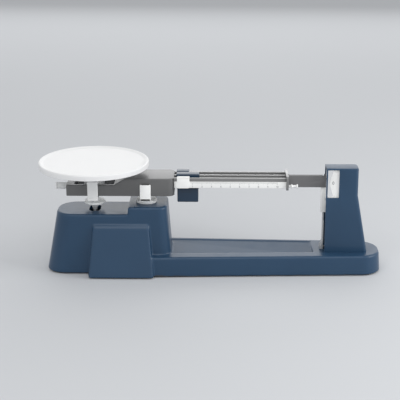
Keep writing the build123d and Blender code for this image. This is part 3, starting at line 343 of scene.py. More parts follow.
def finished_copy(node, name, edge, segments, limit):
    """A closed copy of a CAD node with softly broken edges and smooth curved faces."""
    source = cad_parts[node]
    clear_selection()
    obj = bpy.data.objects.new(name, source.data.copy())
    bpy.context.scene.collection.objects.link(obj)
    obj.data.materials.clear()
    edit_all(obj)
    bpy.ops.mesh.remove_doubles(threshold=0.001 * MM)
    bpy.ops.mesh.dissolve_limited(angle_limit=math.radians(0.6))
    leave_edit()
    apply_modifier(
        obj, "BEVEL", width=edge * MM, segments=segments, limit_method="ANGLE",
        angle_limit=math.radians(limit), harden_normals=False,
    )
    smooth_by_angle(obj)
    return obj


def fit_out(obj, material, body, *nodes):
    """Gives a piece its finish, sets it on its body and hides the solids that it stands for."""
    obj.data.materials.clear()
    obj.data.materials.append(material)
    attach(obj, body)
    if nodes:
        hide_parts(*nodes)
    return obj


# Shader effects that several finishes share

def new_group(name, inputs, outputs):
    tree = bpy.data.node_groups.new(name, "ShaderNodeTree")
    for label, value in inputs:
        socket = tree.interface.new_socket(label, in_out="INPUT", socket_type="NodeSocketFloat")
        socket.default_value = value
    for label, kind in outputs:
        tree.interface.new_socket(label, in_out="OUTPUT", socket_type=kind)
    start = tree.nodes.new("NodeGroupInput")
    end = tree.nodes.new("NodeGroupOutput")
    place = tree.nodes.new("ShaderNodeTexCoord")
    return tree, start, end, place.outputs["Object"]


def noise_node(tree, vector, scale=None, detail=3.0, link=None):
    node = tree.nodes.new("ShaderNodeTexNoise")
    node.inputs["Detail"].default_value = detail
    if scale is not None:
        node.inputs["Scale"].default_value = scale
    if link is not None:
        tree.links.new(link, node.inputs["Scale"])
    tree.links.new(vector, node.inputs["Vector"])
    return node.outputs["Fac"]


def math_node(tree, operation, first, second):
    node = tree.nodes.new("ShaderNodeMath")
    node.operation = operation
    for socket, value in zip(node.inputs, (first, second)):
        if isinstance(value, (int, float)):
            socket.default_value = value
        else:
            tree.links.new(value, socket)
    return node.outputs[0]


def range_node(tree, value, low, high, new_low, new_high):
    node = tree.nodes.new("ShaderNodeMapRange")
    tree.links.new(value, node.inputs["Value"])
    for label, number in (
        ("From Min", low), ("From Max", high), ("To Min", new_low), ("To Max", new_high)
    ):
        node.inputs[label].default_value = number
    return node.outputs["Result"]


def grain_group():
    """Fine cast or sprayed grain: a height for a bump, and a slow mottling from 0 to 1."""
    tree, start, end, place = new_group(
        "Surface grain", [("Scale", 900.0), ("Mottle Scale", 14.0)],
        [("Height", "NodeSocketFloat"), ("Mottle", "NodeSocketFloat")],
    )
    fine = noise_node(tree, place, detail=4.0, link=start.outputs["Scale"])
    slow = noise_node(tree, place, detail=2.0, link=start.outputs["Mottle Scale"])
    tree.links.new(fine, end.inputs["Height"])
    tree.links.new(range_node(tree, slow, 0.3, 0.7, 0.0, 1.0), end.inputs["Mottle"])
    return tree


def brushed_group():
    """Long fine lines along one direction, as drawn or brushed metal has."""
    tree, start, end, place = new_group(
        "Drawn lines", [("Along", 8.0), ("Across", 1400.0)],
        [("Height", "NodeSocketFloat"), ("Streak", "NodeSocketFloat")],
    )
    combine = tree.nodes.new("ShaderNodeCombineXYZ")
    tree.links.new(start.outputs["Along"], combine.inputs["X"])
    tree.links.new(start.outputs["Across"], combine.inputs["Y"])
    tree.links.new(start.outputs["Across"], combine.inputs["Z"])
    stretch = tree.nodes.new("ShaderNodeVectorMath")
    stretch.operation = "MULTIPLY"
    tree.links.new(place, stretch.inputs[0])
    tree.links.new(combine.outputs[0], stretch.inputs[1])
    lines = noise_node(tree, stretch.outputs[0], scale=1.0, detail=3.0)
    tree.links.new(lines, end.inputs["Height"])
    tree.links.new(range_node(tree, lines, 0.3, 0.7, 0.0, 1.0), end.inputs["Streak"])
    return tree


def handling_group():
    """Soft patches of handling: a mask from 0, clean, to 1, dull."""
    tree, start, end, place = new_group(
        "Handling marks", [("Scale", 55.0), ("Spread", 0.5)], [("Mask", "NodeSocketFloat")],
    )
    patch = noise_node(tree, place, detail=5.0, link=start.outputs["Scale"])
    shifted = math_node(tree, "SUBTRACT", patch, start.outputs["Spread"])
    tree.links.new(range_node(tree, shifted, 0.0, 0.22, 0.0, 1.0), end.inputs["Mask"])
    return tree


GROUPS = {}


def shared(name, maker):
    if name not in GROUPS:
        GROUPS[name] = maker()
    return GROUPS[name]


def finish_base(name, colour, rough, metallic=0.0):
    material = bpy.data.materials.new(name)
    material.use_nodes = True
    tree = material.node_tree
    shader = tree.nodes["Principled BSDF"]
    shader.inputs["Base Color"].default_value = colour
    shader.inputs["Roughness"].default_value = rough
    shader.inputs["Metallic"].default_value = metallic
    return material, tree, shader


def group_node(tree, group, **values):
    node = tree.nodes.new("ShaderNodeGroup")
    node.node_tree = group
    for label, value in values.items():
        node.inputs[label.replace("_", " ")].default_value = value
    return node


def add_bump(tree, shader, height, strength, distance):
    bump = tree.nodes.new("ShaderNodeBump")
    bump.inputs["Strength"].default_value = strength
    bump.inputs["Distance"].default_value = distance
    tree.links.new(height, bump.inputs["Height"])
    tree.links.new(bump.outputs["Normal"], shader.inputs["Normal"])


def shade_between(tree, shader, mask, first, second):
    mix = tree.nodes.new("ShaderNodeMix")
    mix.data_type = "RGBA"
    mix.inputs[6].default_value = first
    mix.inputs[7].default_value = second
    tree.links.new(mask, mix.inputs[0])
    tree.links.new(mix.outputs[2], shader.inputs["Base Color"])


def dimmed(colour, share):
    return tuple(value * share for value in colour[:3]) + (1.0,)


def painted(name, colour, rough, grain=700.0, bump=0.12, coat=0.0):
    """Sprayed enamel on a casting: slight orange peel, slow mottling and dull patches."""
    material, tree, shader = finish_base(name, colour, rough)
    grainy = group_node(tree, shared("grain", grain_group), Scale=grain, Mottle_Scale=16.0)
    marks = group_node(tree, shared("marks", handling_group), Scale=38.0, Spread=0.5)
    shade_between(tree, shader, grainy.outputs["Mottle"], dimmed(colour, 0.96), dimmed(colour, 1.04))
    tree.links.new(
        range_node(tree, marks.outputs["Mask"], 0.0, 1.0, rough, rough + 0.07), shader.inputs["Roughness"]
    )
    shader.inputs["Specular IOR Level"].default_value = 0.28
    shader.inputs["Coat Weight"].default_value = coat
    shader.inputs["Coat Roughness"].default_value = 0.18
    add_bump(tree, shader, grainy.outputs["Height"], bump, 0.0002)
    return material


def cast_metal(name, colour, rough, metallic, bump=0.25, coat=0.0):
    """Bare or tumbled die casting with a fine grain."""
    material, tree, shader = finish_base(name, colour, rough, metallic)
    shader.inputs["Coat Weight"].default_value = coat
    shader.inputs["Coat Roughness"].default_value = 0.25
    grainy = group_node(tree, shared("grain", grain_group), Scale=1500.0, Mottle_Scale=24.0)
    shade_between(tree, shader, grainy.outputs["Mottle"], dimmed(colour, 0.93), dimmed(colour, 1.07))
    tree.links.new(
        range_node(tree, grainy.outputs["Height"], 0.3, 0.7, rough - 0.05, rough + 0.06),
        shader.inputs["Roughness"],
    )
    add_bump(tree, shader, grainy.outputs["Height"], bump, 0.00012)
    return material


def drawn_metal(name, colour, rough, metallic, along=8.0, across=1400.0, bump=0.12, coat=0.0):
    """Drawn, rolled or brushed metal with long fine lines."""
    material, tree, shader = finish_base(name, colour, rough, metallic)
    shader.inputs["Coat Weight"].default_value = coat
    shader.inputs["Coat Roughness"].default_value = 0.2
    lines = group_node(tree, shared("lines", brushed_group), Along=along, Across=across)
    shade_between(tree, shader, lines.outputs["Streak"], dimmed(colour, 0.92), dimmed(colour, 1.06))
    tree.links.new(
        range_node(tree, lines.outputs["Streak"], 0.0, 1.0, rough - 0.04, rough + 0.08),
        shader.inputs["Roughness"],
    )
    add_bump(tree, shader, lines.outputs["Height"], bump, 0.00006)
    return material


def spun_metal(name, colour, rough, metallic, centre):
    """Spun sheet with fine rings about its middle."""
    material, tree, shader = finish_base(name, colour, rough, metallic)
    place = tree.nodes.new("ShaderNodeTexCoord")
    shift = tree.nodes.new("ShaderNodeMapping")
    shift.inputs["Location"].default_value = (-centre[0], -centre[1], 0.0)
    tree.links.new(place.outputs["Object"], shift.inputs["Vector"])
    rings = tree.nodes.new("ShaderNodeTexWave")
    rings.wave_type = "RINGS"
    rings.rings_direction = "Z"
    rings.inputs["Scale"].default_value = 260.0
    rings.inputs["Distortion"].default_value = 1.5
    rings.inputs["Detail"].default_value = 2.0
    rings.inputs["Detail Scale"].default_value = 6.0
    tree.links.new(shift.outputs["Vector"], rings.inputs["Vector"])
    marks = group_node(tree, shared("marks", handling_group), Scale=60.0, Spread=0.52)
    shade_between(tree, shader, rings.outputs["Fac"], dimmed(colour, 0.985), colour)
    tree.links.new(
        range_node(tree, marks.outputs["Mask"], 0.0, 1.0, rough, rough + 0.06), shader.inputs["Roughness"]
    )
    add_bump(tree, shader, rings.outputs["Fac"], 0.05, 0.00004)
    return material


def rubber_finish(name, colour):
    material, tree, shader = finish_base(name, colour, 0.75)
    grainy = group_node(tree, shared("grain", grain_group), Scale=1800.0, Mottle_Scale=60.0)
    shade_between(tree, shader, grainy.outputs["Mottle"], dimmed(colour, 0.8), dimmed(colour, 1.3))
    add_bump(tree, shader, grainy.outputs["Height"], 0.35, 0.00015)
    return material


FINISHES = {}


def finish(name):
    """The named finish, made once from the chosen colours."""
    if name in FINISHES:
        return FINISHES[name]
    look = bpy.context.scene.balance_finishes

    def rgba(value):
        return tuple(value) + (1.0,)

    makers = {
        "paint": lambda: painted(
            "Blue-grey enamel", rgba(look.paint_colour), look.paint_roughness, coat=0.16
        ),
        "poise_paint": lambda: painted(
            "Poise enamel", rgba(look.poise_colour), look.paint_roughness,
            grain=1100.0, bump=0.08, coat=0.45,
        ),
        "white": lambda: painted("White enamel", rgba(look.white_colour), 0.4, grain=1300.0, bump=0.05),
        "casting": lambda: cast_metal("Grey die casting", rgba(look.casting_colour), 0.42, 0.25, coat=0.6),
        "bars": lambda: drawn_metal("Drawn bar", rgba(look.bar_colour), 0.3, 0.35, coat=1.0),
        "arm": lambda: drawn_metal("Pointer arm metal", rgba(look.arm_colour), 0.45, 0.3),
        "plated": lambda: cast_metal(
            "Satin plated support", rgba(look.plated_colour), 0.38, 0.0, bump=0.06
        ),
        "disc": lambda: cast_metal("Turned disc", rgba(look.disc_colour), 0.4, 0.0, bump=0.06),
        "pan": lambda: spun_metal("Spun pan", rgba(look.pan_colour), 0.42, 0.05, (PAN_AXIS_X, 0.0)),
        "vane": lambda: drawn_metal(
            "Rolled vane sheet", rgba(look.vane_colour), 0.42, 0.0, along=1200.0, across=60.0
        ),
        "strap": lambda: drawn_metal(
            "Damper strap sheet", srgb(186, 188, 190), 0.4, 0.2, along=1200.0, across=60.0
        ),
        "steel": lambda: drawn_metal(
            "Plain steel", srgb(150, 152, 154), 0.36, 0.8, along=30.0, across=900.0
        ),
        "screw": lambda: cast_metal("Zinc plated screw", srgb(190, 192, 194), 0.3, 0.85, bump=0.08),
        "dark_steel": lambda: cast_metal("Hardened steel", srgb(78, 80, 84), 0.4, 0.8, bump=0.15),
        "cover": lambda: painted("Cover sheet paint", srgb(58, 62, 68), 0.5, grain=500.0, bump=0.2),
        "rubber": lambda: rubber_finish("Foot rubber", srgb(30, 30, 31)),
        "ink": lambda: painted("Printed mark", rgba(look.mark_colour), 0.6, grain=2500.0, bump=0.02),
    }
    FINISHES[name] = makers[name]()
    return FINISHES[name]


def copy_piece(node, name, look, body, edge, segments=2, limit=40):
    """Shows one CAD node as a finished copy, with a named finish, on its body."""
    return fit_out(finished_copy(node, name, edge, segments, limit), finish(look), body, node)


# Sizes and colours that a user would change

class BalanceSizes(bpy.types.PropertyGroup):
    """Sizes of the shown pieces"""
    casting_blend: FloatProperty(
        name="Casting blend", description="Size of the casting's soft corners, as its remesh step",
        default=1.25 * MM, min=0.8 * MM, max=3 * MM, unit="LENGTH",
    )
    casting_soften: IntProperty(
        name="Casting soften", description="How many times the casting's surface is relaxed",
        default=5, min=0, max=30,
    )
    pan_steps: IntProperty(
        name="Pan steps", description="Facets round the pan", default=160, min=24, max=360,
    )
    tick_width: FloatProperty(
        name="Tick width", description="Width of a line of the scale",
        default=0.22 * MM, min=0.1 * MM, max=1 * MM, unit="LENGTH",
    )
    numeral_height: FloatProperty(
        name="Numeral height", description="Height of a number on the scale",
        default=2.6 * MM, min=1 * MM, max=6 * MM, unit="LENGTH",
    )


def colour_choice(name, description, value):
    return FloatVectorProperty(
        name=name, description=description, default=value[:3], subtype="COLOR", min=0, max=1
    )


class BalanceFinishes(bpy.types.PropertyGroup):
    """Colours of the shown pieces"""
    paint_colour: colour_choice("Paint", "Blue-grey enamel of base and tower", srgb(41, 68, 94))
    poise_colour: colour_choice("Poise paint", "Enamel of the two blue poises", srgb(26, 50, 72))
    paint_roughness: FloatProperty(
        name="Paint roughness", description="Roughness of the enamel", default=0.34, min=0, max=1,
        subtype="FACTOR",
    )
    casting_colour: colour_choice("Lever casting", "Grey of the lever's casting", srgb(96, 96, 96))
    bar_colour: colour_choice("Beams", "Metal of the rear and middle beams", srgb(122, 122, 122))
    arm_colour: colour_choice("Pointer arm", "Metal of the pointer arm", srgb(112, 112, 113))
    white_colour: colour_choice("White enamel", "Strip, zero plate and front poise", srgb(244, 244, 242))
    pan_colour: colour_choice("Pan", "Satin metal of the pan", srgb(236, 236, 236))
    plated_colour: colour_choice("Supports", "Bright straps and hub", srgb(240, 240, 239))
    disc_colour: colour_choice("Discs", "Round discs of pan support and stand", srgb(252, 253, 252))
    vane_colour: colour_choice("Vane", "Sheet of the damping vane", srgb(238, 239, 238))
    mark_colour: colour_choice("Marks", "Print of lines and numbers", srgb(112, 114, 118))
    floor_colour: colour_choice("Floor", "Pale floor and surround", srgb(205, 207, 210))


# Base

HOUSING_TOP = 85.5
PLATFORM_TOP = 95.8
BLOCK_TOP = 68.3
PLINTH_TOP = 27.0
STAND_X = 72.4
RIGHT_ROUND = 13 * MM
RIM_ROUND = 2.2 * MM


class BALANCE_OT_base(bpy.types.Operator):
    """Cast base with its housing, front block, plinth and tray, and what closes it below"""
    bl_idname = "balance.base"
    bl_label = "Base"

    def execute(self, context):
        sizes = context.scene.balance_sizes
        blocks = [self.housing(), self.platform(), self.front_block(), self.plinth()]
        body = joined("base_casting_skin", blocks)
        apply_modifier(body, "REMESH", mode="VOXEL", voxel_size=sizes.casting_blend)
        apply_modifier(body, "SMOOTH", factor=0.5, iterations=sizes.casting_soften)
        body = cut(body, self.room())
        body = cut(body, self.stem_slot())
        smooth_by_angle(body, 38)
        fit_out(body, finish("paint"), "base", "base_casting")
        copy_piece("bottom_cover", "cover_plate", "cover", "base", 0.4)
        self.feet()
        self.screws()
        return {"FINISHED"}

    def housing(self):
        """Tall tapered housing, widely rounded at its left end"""
        housing = tapered(
            "housing", (-68.3, 108.9, -32.55, 32.55, 0), (-52.3, 102.6, -30.9, 30.9, HOUSING_TOP)
        )
        right = at(100, 0, 0).x
        bevel_where(housing, lambda co, run: upright(run) and co.x < PAN_AXIS_X, 25 * MM, 12)
        bevel_where(housing, lambda co, run: upright(run) and co.x > right, RIGHT_ROUND, 8)
        bevel_where(housing, rim_at(HOUSING_TOP), RIM_ROUND, 3)
        return housing

    def platform(self):
        """Raised end of the housing, which carries the stand"""
        platform = tapered(
            "platform", (48.0, 103.3, -31.1, 31.1, 76.0), (48.0, 101.85, -30.7, 30.7, PLATFORM_TOP)
        )
        right = at(80, 0, 0).x
        bevel_where(platform, lambda co, run: upright(run) and co.x > right, RIGHT_ROUND, 8)
        bevel_where(platform, rim_at(PLATFORM_TOP), RIM_ROUND, 3)
        return platform

    def front_block(self):
        """Sloped block in front of the housing, with a steeper lip along its top"""
        front = tapered("front", (-7.2, 83.6, -51.8, -20.0, 0), (-0.7, 77.1, -35.1, -20.0, BLOCK_TOP))
        lip = at(0, 0, BLOCK_TOP).z
        lip_rise = 3.9 * MM
        lip_set_back = 3.6 * MM
        pick(front, "FACE", lambda co, normal: normal.z > 0.9)
        bpy.ops.mesh.extrude_region_move(TRANSFORM_OT_translate={"value": (0, 0, lip_rise)})
        leave_edit()
        shift_where(
            front, lambda co: co.z > lip + 0.1 * MM and co.y < -30 * MM, (0, lip_set_back, 0)
        )
        bevel_where(
            front, lambda co, run: co.y < -30.5 * MM and (abs(run.z) > 0.1 * MM or co.z > lip - NEAR),
            2.6 * MM, 4,
        )
        return front

    def plinth(self):
        """Long low plinth with a rounded end, narrowed towards it, and the tray cut in its top"""
        plinth = tapered("plinth", (56.1, 401.3, -45.8, 45.8, 0), (58.0, 399.4, -43.9, 43.9, PLINTH_TOP))
        end_x = at(380, 0, 0).x
        start_x = at(180, 0, 0).x
        narrowing = 12.75 * MM
        for side in (-1, 1):
            shift_where(
                plinth, lambda co: co.x > end_x and co.y * side > 0, (0, -side * narrowing, 0)
            )
        bevel_where(plinth, lambda co, run: upright(run) and co.x > end_x, 26 * MM, 14)
        bevel_where(plinth, lambda co, run: upright(run) and co.x < start_x, 14 * MM, 6)
        bevel_where(plinth, rim_at(PLINTH_TOP), 2.6 * MM, 4)
        return cut(plinth, self.tray())

    def tray(self):
        """The sloped trough, deeper at the front"""
        cutter = tapered(
            "tray", (STAND_X, 305.5, -24.4, 36.4, 24.0), (STAND_X, 307.8, -24.4, 36.4, 32.0)
        )
        right = at(296, 0, 0).x
        floor_z = at(0, 0, 28).z
        narrowing = 8.9
        moves = [
            (lambda co: co.y < 0 and co.x > right, (0, narrowing, 0)),
            (lambda co: co.y > 0 and co.x > right, (0, -narrowing, 0)),
            (lambda co: co.y < 0 and co.z < floor_z, (0, 0, -2.0)),
            (lambda co: co.y > 0 and co.z < floor_z, (0, 0, 2.2)),
        ]
        for test, move in moves:
            shift_where(cutter, test, Vector(move) * MM)
        return cutter

    def room(self):
        """The hollow for the linkage"""
        room = tapered("room", (-60.0, 101.0, -26.5, 26.5, -4), (-46.5, 95.0, -24.5, 24.5, 80.0))
        bevel_where(room, lambda co, run: upright(run) and co.x < PAN_AXIS_X, 18 * MM, 6)
        return room

    def stem_slot(self):
        """The oblong hole for the stem"""
        half_width, half_length, end_round = 8.0, 14.0, 7.9
        outline = [
            (-half_width, -half_length, end_round), (half_width, -half_length, end_round),
            (half_width, half_length, end_round), (-half_width, half_length, end_round),
        ]
        return plate("stem_slot", outline, 70.0, 100.0, plane="XY", steps=10)

    def feet(self):
        """Four round pads"""
        feet = []
        for x, y in ((-43.3, -18.9), (-43.3, 18.9), (375.3, -16.1), (375.3, 16.1)):
            feet.append(turned(
                "foot", at(x, y, -2.0),
                [(0, 0, 0), (7.0, 0, 0.4), (8.0, 0.6, 0.3), (8.0, 2.0, 0), (0, 2.0, 0)], steps=40,
            ))
        fit_out(joined("foot_pads", feet), finish("rubber"), "base", "rubber_feet")

    def screws(self):
        """Hexagon-head screws under the cover"""
        screws = []
        head_radius = 2.8
        shank = [(0, 0, 0), (1.5, 0, 0), (1.5, 8, 0), (0, 8, 0)]
        for x, y in ((-49.3, 0), (90.4, -16.07), (90.4, 16.07), (385.2, 0)):
            turns = [math.radians(60 * i) for i in range(6)]
            corners = [
                (x + head_radius * math.cos(turn), y + head_radius * math.sin(turn), 0) for turn in turns
            ]
            screws.append(plate("cover_screw", corners, -1.2, 0.0, plane="XY", edge=0.3 * MM))
            screws.append(turned("cover_shank", at(x, y, 0), shank, steps=24))
        fit_out(joined("cover_screw_set", screws), finish("screw"), "base", "cover_screws")


# Tower

class BALANCE_OT_tower(bpy.types.Operator):
    """Pointer tower with its zero plate, and the magnetic damper inside"""
    bl_idname = "balance.tower"
    bl_label = "Tower"

    def execute(self, context):
        copy_piece("tower", "tower_shell", "paint", "base", 0.5, 3)
        copy_piece("zero_plate", "zero_sign", "white", "base", 0.12)
        self.zero_figure()
        copy_piece("damper_bracket", "damper_strap", "strap", "base", 0.25)
        copy_piece("damper_magnets", "magnet_pair", "dark_steel", "base", 0.4)
        copy_piece("damper_screw", "damper_fixing", "screw", "base", 0.15)
        copy_piece("tower_screws", "tower_fixings", "screw", "base", 0.15)
        return {"FINISHED"}

    def zero_figure(self):
        """The zero on the plate, leaning as the plate's sloped front does"""
        low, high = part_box("zero_plate")
        thickness = 1.0 * MM
        sink = 0.02 * MM
        slope = (high[1] - low[1] - thickness) / (high[2] - low[2])
        centre = at(331.3, 0, 126.3)
        front = low[1] + (centre.z - low[2]) * slope
        figure = numeral("0", 4.6 * MM, Vector((centre.x, front - sink, centre.z)), 0.04 * MM)
        edit_all(figure)
        bpy.ops.transform.rotate(
            value=math.atan(slope), orient_axis="X", center_override=(0, front, centre.z)
        )
        leave_edit()
        fit_out(figure, finish("ink"), "base")


def numeral(text, height, place, depth):
    """A printed number on a front face, as a thin raised mesh centred on a place."""
    clear_selection()
    bpy.ops.object.text_add(location=(0, 0, 0), rotation=(math.radians(90), 0, 0))
    obj = bpy.context.object
    obj.data.body = text
    obj.data.align_x = "CENTER"
    obj.data.align_y = "CENTER"
    obj.data.size = height * 1.38
    obj.data.extrude = depth
    obj.data.resolution_u = 4
    bpy.ops.object.convert(target="MESH")
    obj = bpy.context.object
    obj.name = "numeral"
    obj.location = place
    apply_place(obj)
    return obj


# Stand

STRAP_LOW = 104.3
STRAP_SHELF = 108.3
STRAP_INSIDE = 24.1


class BALANCE_OT_stand(bpy.types.Operator):
    """Forked stand that holds the lever's knife in two bearings"""
    bl_idname = "balance.stand"
    bl_label = "Stand"

    def execute(self, context):
        disc = turned(
            "stand_disc", at(STAND_X, 0, PLATFORM_TOP),
            [(0, 0, 0), (14.7, 0, 0.3), (14.7, 4.0, 1.1), (9.2, 4.0, 1.0), (8.0, 5.4, 0.8),
             (8.0, 8.6, 0), (0, 8.6, 0)],
            steps=96,
        )
        fit_out(disc, finish("disc"), "base")
        fit_out(self.fork(), finish("plated"), "base", "fulcrum_stand")
        copy_piece("fulcrum_bearings", "stand_bearings", "dark_steel", "base", 0.15)
        copy_piece("check_bracket_pin", "rod_pin", "dark_steel", "base", 0.15)
        copy_piece("check_bracket", "rod_bracket", "steel", "base", 0.3)
        copy_piece("fulcrum_stand_screw", "stand_fixing", "screw", "base", 0.3)
        return {"FINISHED"}

    def fork(self):
        """A flat bar with a strap at each end, pocketed for its bearing"""
        left, right = STAND_X - 7.4, STAND_X + 7.4
        outside = 28.1
        parts = [
            block("stand_bar", at(left, -outside, STRAP_LOW), at(right, outside, STRAP_SHELF), 0.8 * MM)
        ]
        for side in (-1, 1):
            near, far = sorted((side * STRAP_INSIDE, side * outside))
            strap = block("stand_strap", at(left, near, STRAP_LOW), at(right, far, 127.4), 0.7 * MM)
            near, far = sorted((side * 23.0, side * 27.1))
            pocket = block("bearing_pocket", at(STAND_X - 5, near, 115.5), at(STAND_X + 5, far, 130))
            parts.append(cut(strap, pocket))
        for part in parts:
            smooth_by_angle(part)
        return joined("stand_fork", parts)


# Lever

LEVER_END = -37.0
KNOB_GAP = 0.3
KNOB_LENGTH = 16.5


class BALANCE_OT_lever(bpy.types.Operator):
    """Cast lever with its knives, trim weights and zero knob"""
    bl_idname = "balance.lever"
    bl_label = "Lever"

    def execute(self, context):
        copy_piece("beam_casting", "lever_casting", "casting", "beam", 0.45, 3, 30)
        copy_piece("fulcrum_knife", "lever_knife", "steel", "beam", 0.06)
        copy_piece("pan_knife", "load_knife", "steel", "beam", 0.06)
        copy_piece("trim_weight", "trim_bars", "dark_steel", "beam", 0.2)
        copy_piece("zero_stud", "knob_stud", "steel", "beam", 0.2)
        knob = turned(
            "zero_knob_turned", at(LEVER_END - KNOB_GAP - KNOB_LENGTH, 0, 118.2),
            [(0, 0.9, 0), (1.9, 0.9, 0.2), (2.3, 0, 0.2), (4.2, 0, 0.4), (4.8, 0.6, 0.4), (4.8, 2.6, 0.15),
             (4.45, 2.9, 0.1), (4.45, 3.5, 0.1), (4.8, 3.8, 0.15), (4.8, 12.7, 0.15), (4.45, 13.0, 0.1),
             (4.45, 13.6, 0.1), (4.8, 13.9, 0.15), (4.8, 16.0, 0.4), (4.3, KNOB_LENGTH, 0.3),
             (2.05, KNOB_LENGTH, 0.2), (2.05, 3.5, 0), (0, 3.5, 0)],
            axis="X", steps=72, rounds=3,
        )
        fit_out(knob, finish("plated"), "zero_knob", "zero_knob")
        return {"FINISHED"}


# Beams

BRACKET_FACE = 269.2


class BALANCE_OT_beams(bpy.types.Operator):
    """Three beams with their scale marks, the end bracket, its screw and the weight hanger"""
    bl_idname = "balance.beams"
    bl_label = "Beams"

    def execute(self, context):
        copy_piece("rear_beam", "beam_rear", "bars", "beam", 0.25)
        copy_piece("middle_beam", "beam_middle", "bars", "beam", 0.25)
        copy_piece("front_beam", "beam_front", "bars", "beam", 0.25)
        copy_piece("end_bracket", "beam_bracket", "bars", "beam", 0.25)
        copy_piece("front_scale_strip", "scale_strip", "white", "beam", 0.35, 3)
        self.marks(context.scene.balance_sizes)
        self.hanger()
        screw = turned(
            "bracket_screw", at(BRACKET_FACE, 15.0, 127.85),
            [(0, -10, 0), (1.2, -10, 0.2), (1.2, 0, 0), (2.3, 0, 0.1), (2.3, 1.0, 0.4), (1.5, 1.6, 0.4),
             (0, 1.6, 0)],
            axis="X", steps=32,
        )
        slot = block("slot", at(BRACKET_FACE + 1.0, 14.7, 124), at(BRACKET_FACE + 2.2, 15.3, 132))
        fit_out(cut(screw, slot), finish("screw"), "beam", "beam_screw")
        return {"FINISHED"}

    def marks(self, sizes):
        """Lines and numbers along each beam, as wide as the poise travels"""
        # Beam, first line, travel, numbers, lines to a number, front face, lower and upper edge, step
        rows = [
            ("front", 124.4, 129.2, 10, 10, -18.6, 121.3, 129.9, 1),
            ("middle", 130.4, 117.2, 5, 1, -2.0, 124.2, 134.4, 100),
            ("rear", 123.15, 131.7, 10, 1, 13.0, 124.2, 134.4, 10),
        ]
        sink = 0.02
        numeral_rise = sizes.numeral_height / MM * 0.62
        for name, first, travel, numbers, parts, face, low, high, step in rows:
            pitch = travel / numbers / parts
            steps = range(numbers * parts + 1)
            lengths = [
                (0.5, [i for i in steps if i % parts == 0]),
                (0.36, [i for i in steps if i % parts and i % 5 == 0]),
                (0.26, [i for i in steps if i % parts and i % 5]),
            ]
            marks = []
            for share, wanted in lengths:
                places = [first + i * pitch for i in wanted]
                marks += self.lines(places, sizes.tick_width / MM, face, high - (high - low) * share, high)
            for i in range(numbers + 1):
                place = at(first + i * parts * pitch, face - sink, low + numeral_rise)
                marks.append(numeral(str(i * step), sizes.numeral_height, place, 0.03 * MM))
            fit_out(joined("marks_" + name, marks), finish("ink"), "beam")

    def lines(self, places, width, face, low, high):
        """Equal upright lines on a face, each a copy of the first"""
        if not places:
            return []
        left, right = places[0] - width / 2, places[0] + width / 2
        height = 0.06
        sink = 0.02
        first = block("tick", at(left, face - height, low), at(right, face + sink, high))
        lines = [first]
        for place in places[1:]:
            only(first)
            bpy.ops.object.duplicate()
            bpy.ops.transform.translate(value=((place - places[0]) * MM, 0, 0))
            lines.append(bpy.context.object)
            apply_place(lines[-1])
        return lines

    def hanger(self):
        """Grooved pin for hanging weights"""
        pin = turned(
            "hanger_pin", at(BRACKET_FACE, -15.0, 123.2),
            [(0, -9, 0), (1.2, -9, 0.2), (1.2, 0, 0), (1.7, 0, 0.1), (1.7, 3.4, 0.3), (2.9, 3.9, 0.6),
             (2.9, 5.2, 0.6), (1.7, 5.7, 0.3), (1.7, 10.9, 0.3), (2.9, 11.3, 0.6), (2.9, 12.9, 0.8),
             (1.6, 13.2, 0.5), (0, 13.2, 0)],
            axis="X", steps=40,
        )
        fit_out(pin, finish("plated"), "beam", "weight_hanger")


# Pointer

class BALANCE_OT_pointer(bpy.types.Operator):
    """Pointer arm with its blade, damping vane and domed screw"""
    bl_idname = "balance.pointer"
    bl_label = "Pointer"

    def execute(self, context):
        copy_piece("pointer_arm", "arm_bar", "arm", "beam", 0.3)
        copy_piece("pointer_blade", "arm_blade", "ink", "beam", 0.08)
        copy_piece("damping_vane", "vane_sheet", "vane", "beam", 0.2)
        x = 318.35
        dome = turned(
            "vane_dome", at(x, 0, 134.7),
            [(0, -7.8, 0), (1.1, -7.8, 0), (1.1, 0, 0), (2.5, 0, 0.1), (2.5, 0.8, 0.5), (1.7, 2.1, 0.9),
             (0, 2.4, 0)],
            steps=40, rounds=5,
        )
        slot = block("slot", at(x - 0.3, -3, 136.5), at(x + 0.3, 3, 138))
        fit_out(cut(dome, slot), finish("screw"), "beam", "vane_screw")
        return {"FINISHED"}


# Poises

POISE_START = 114.4


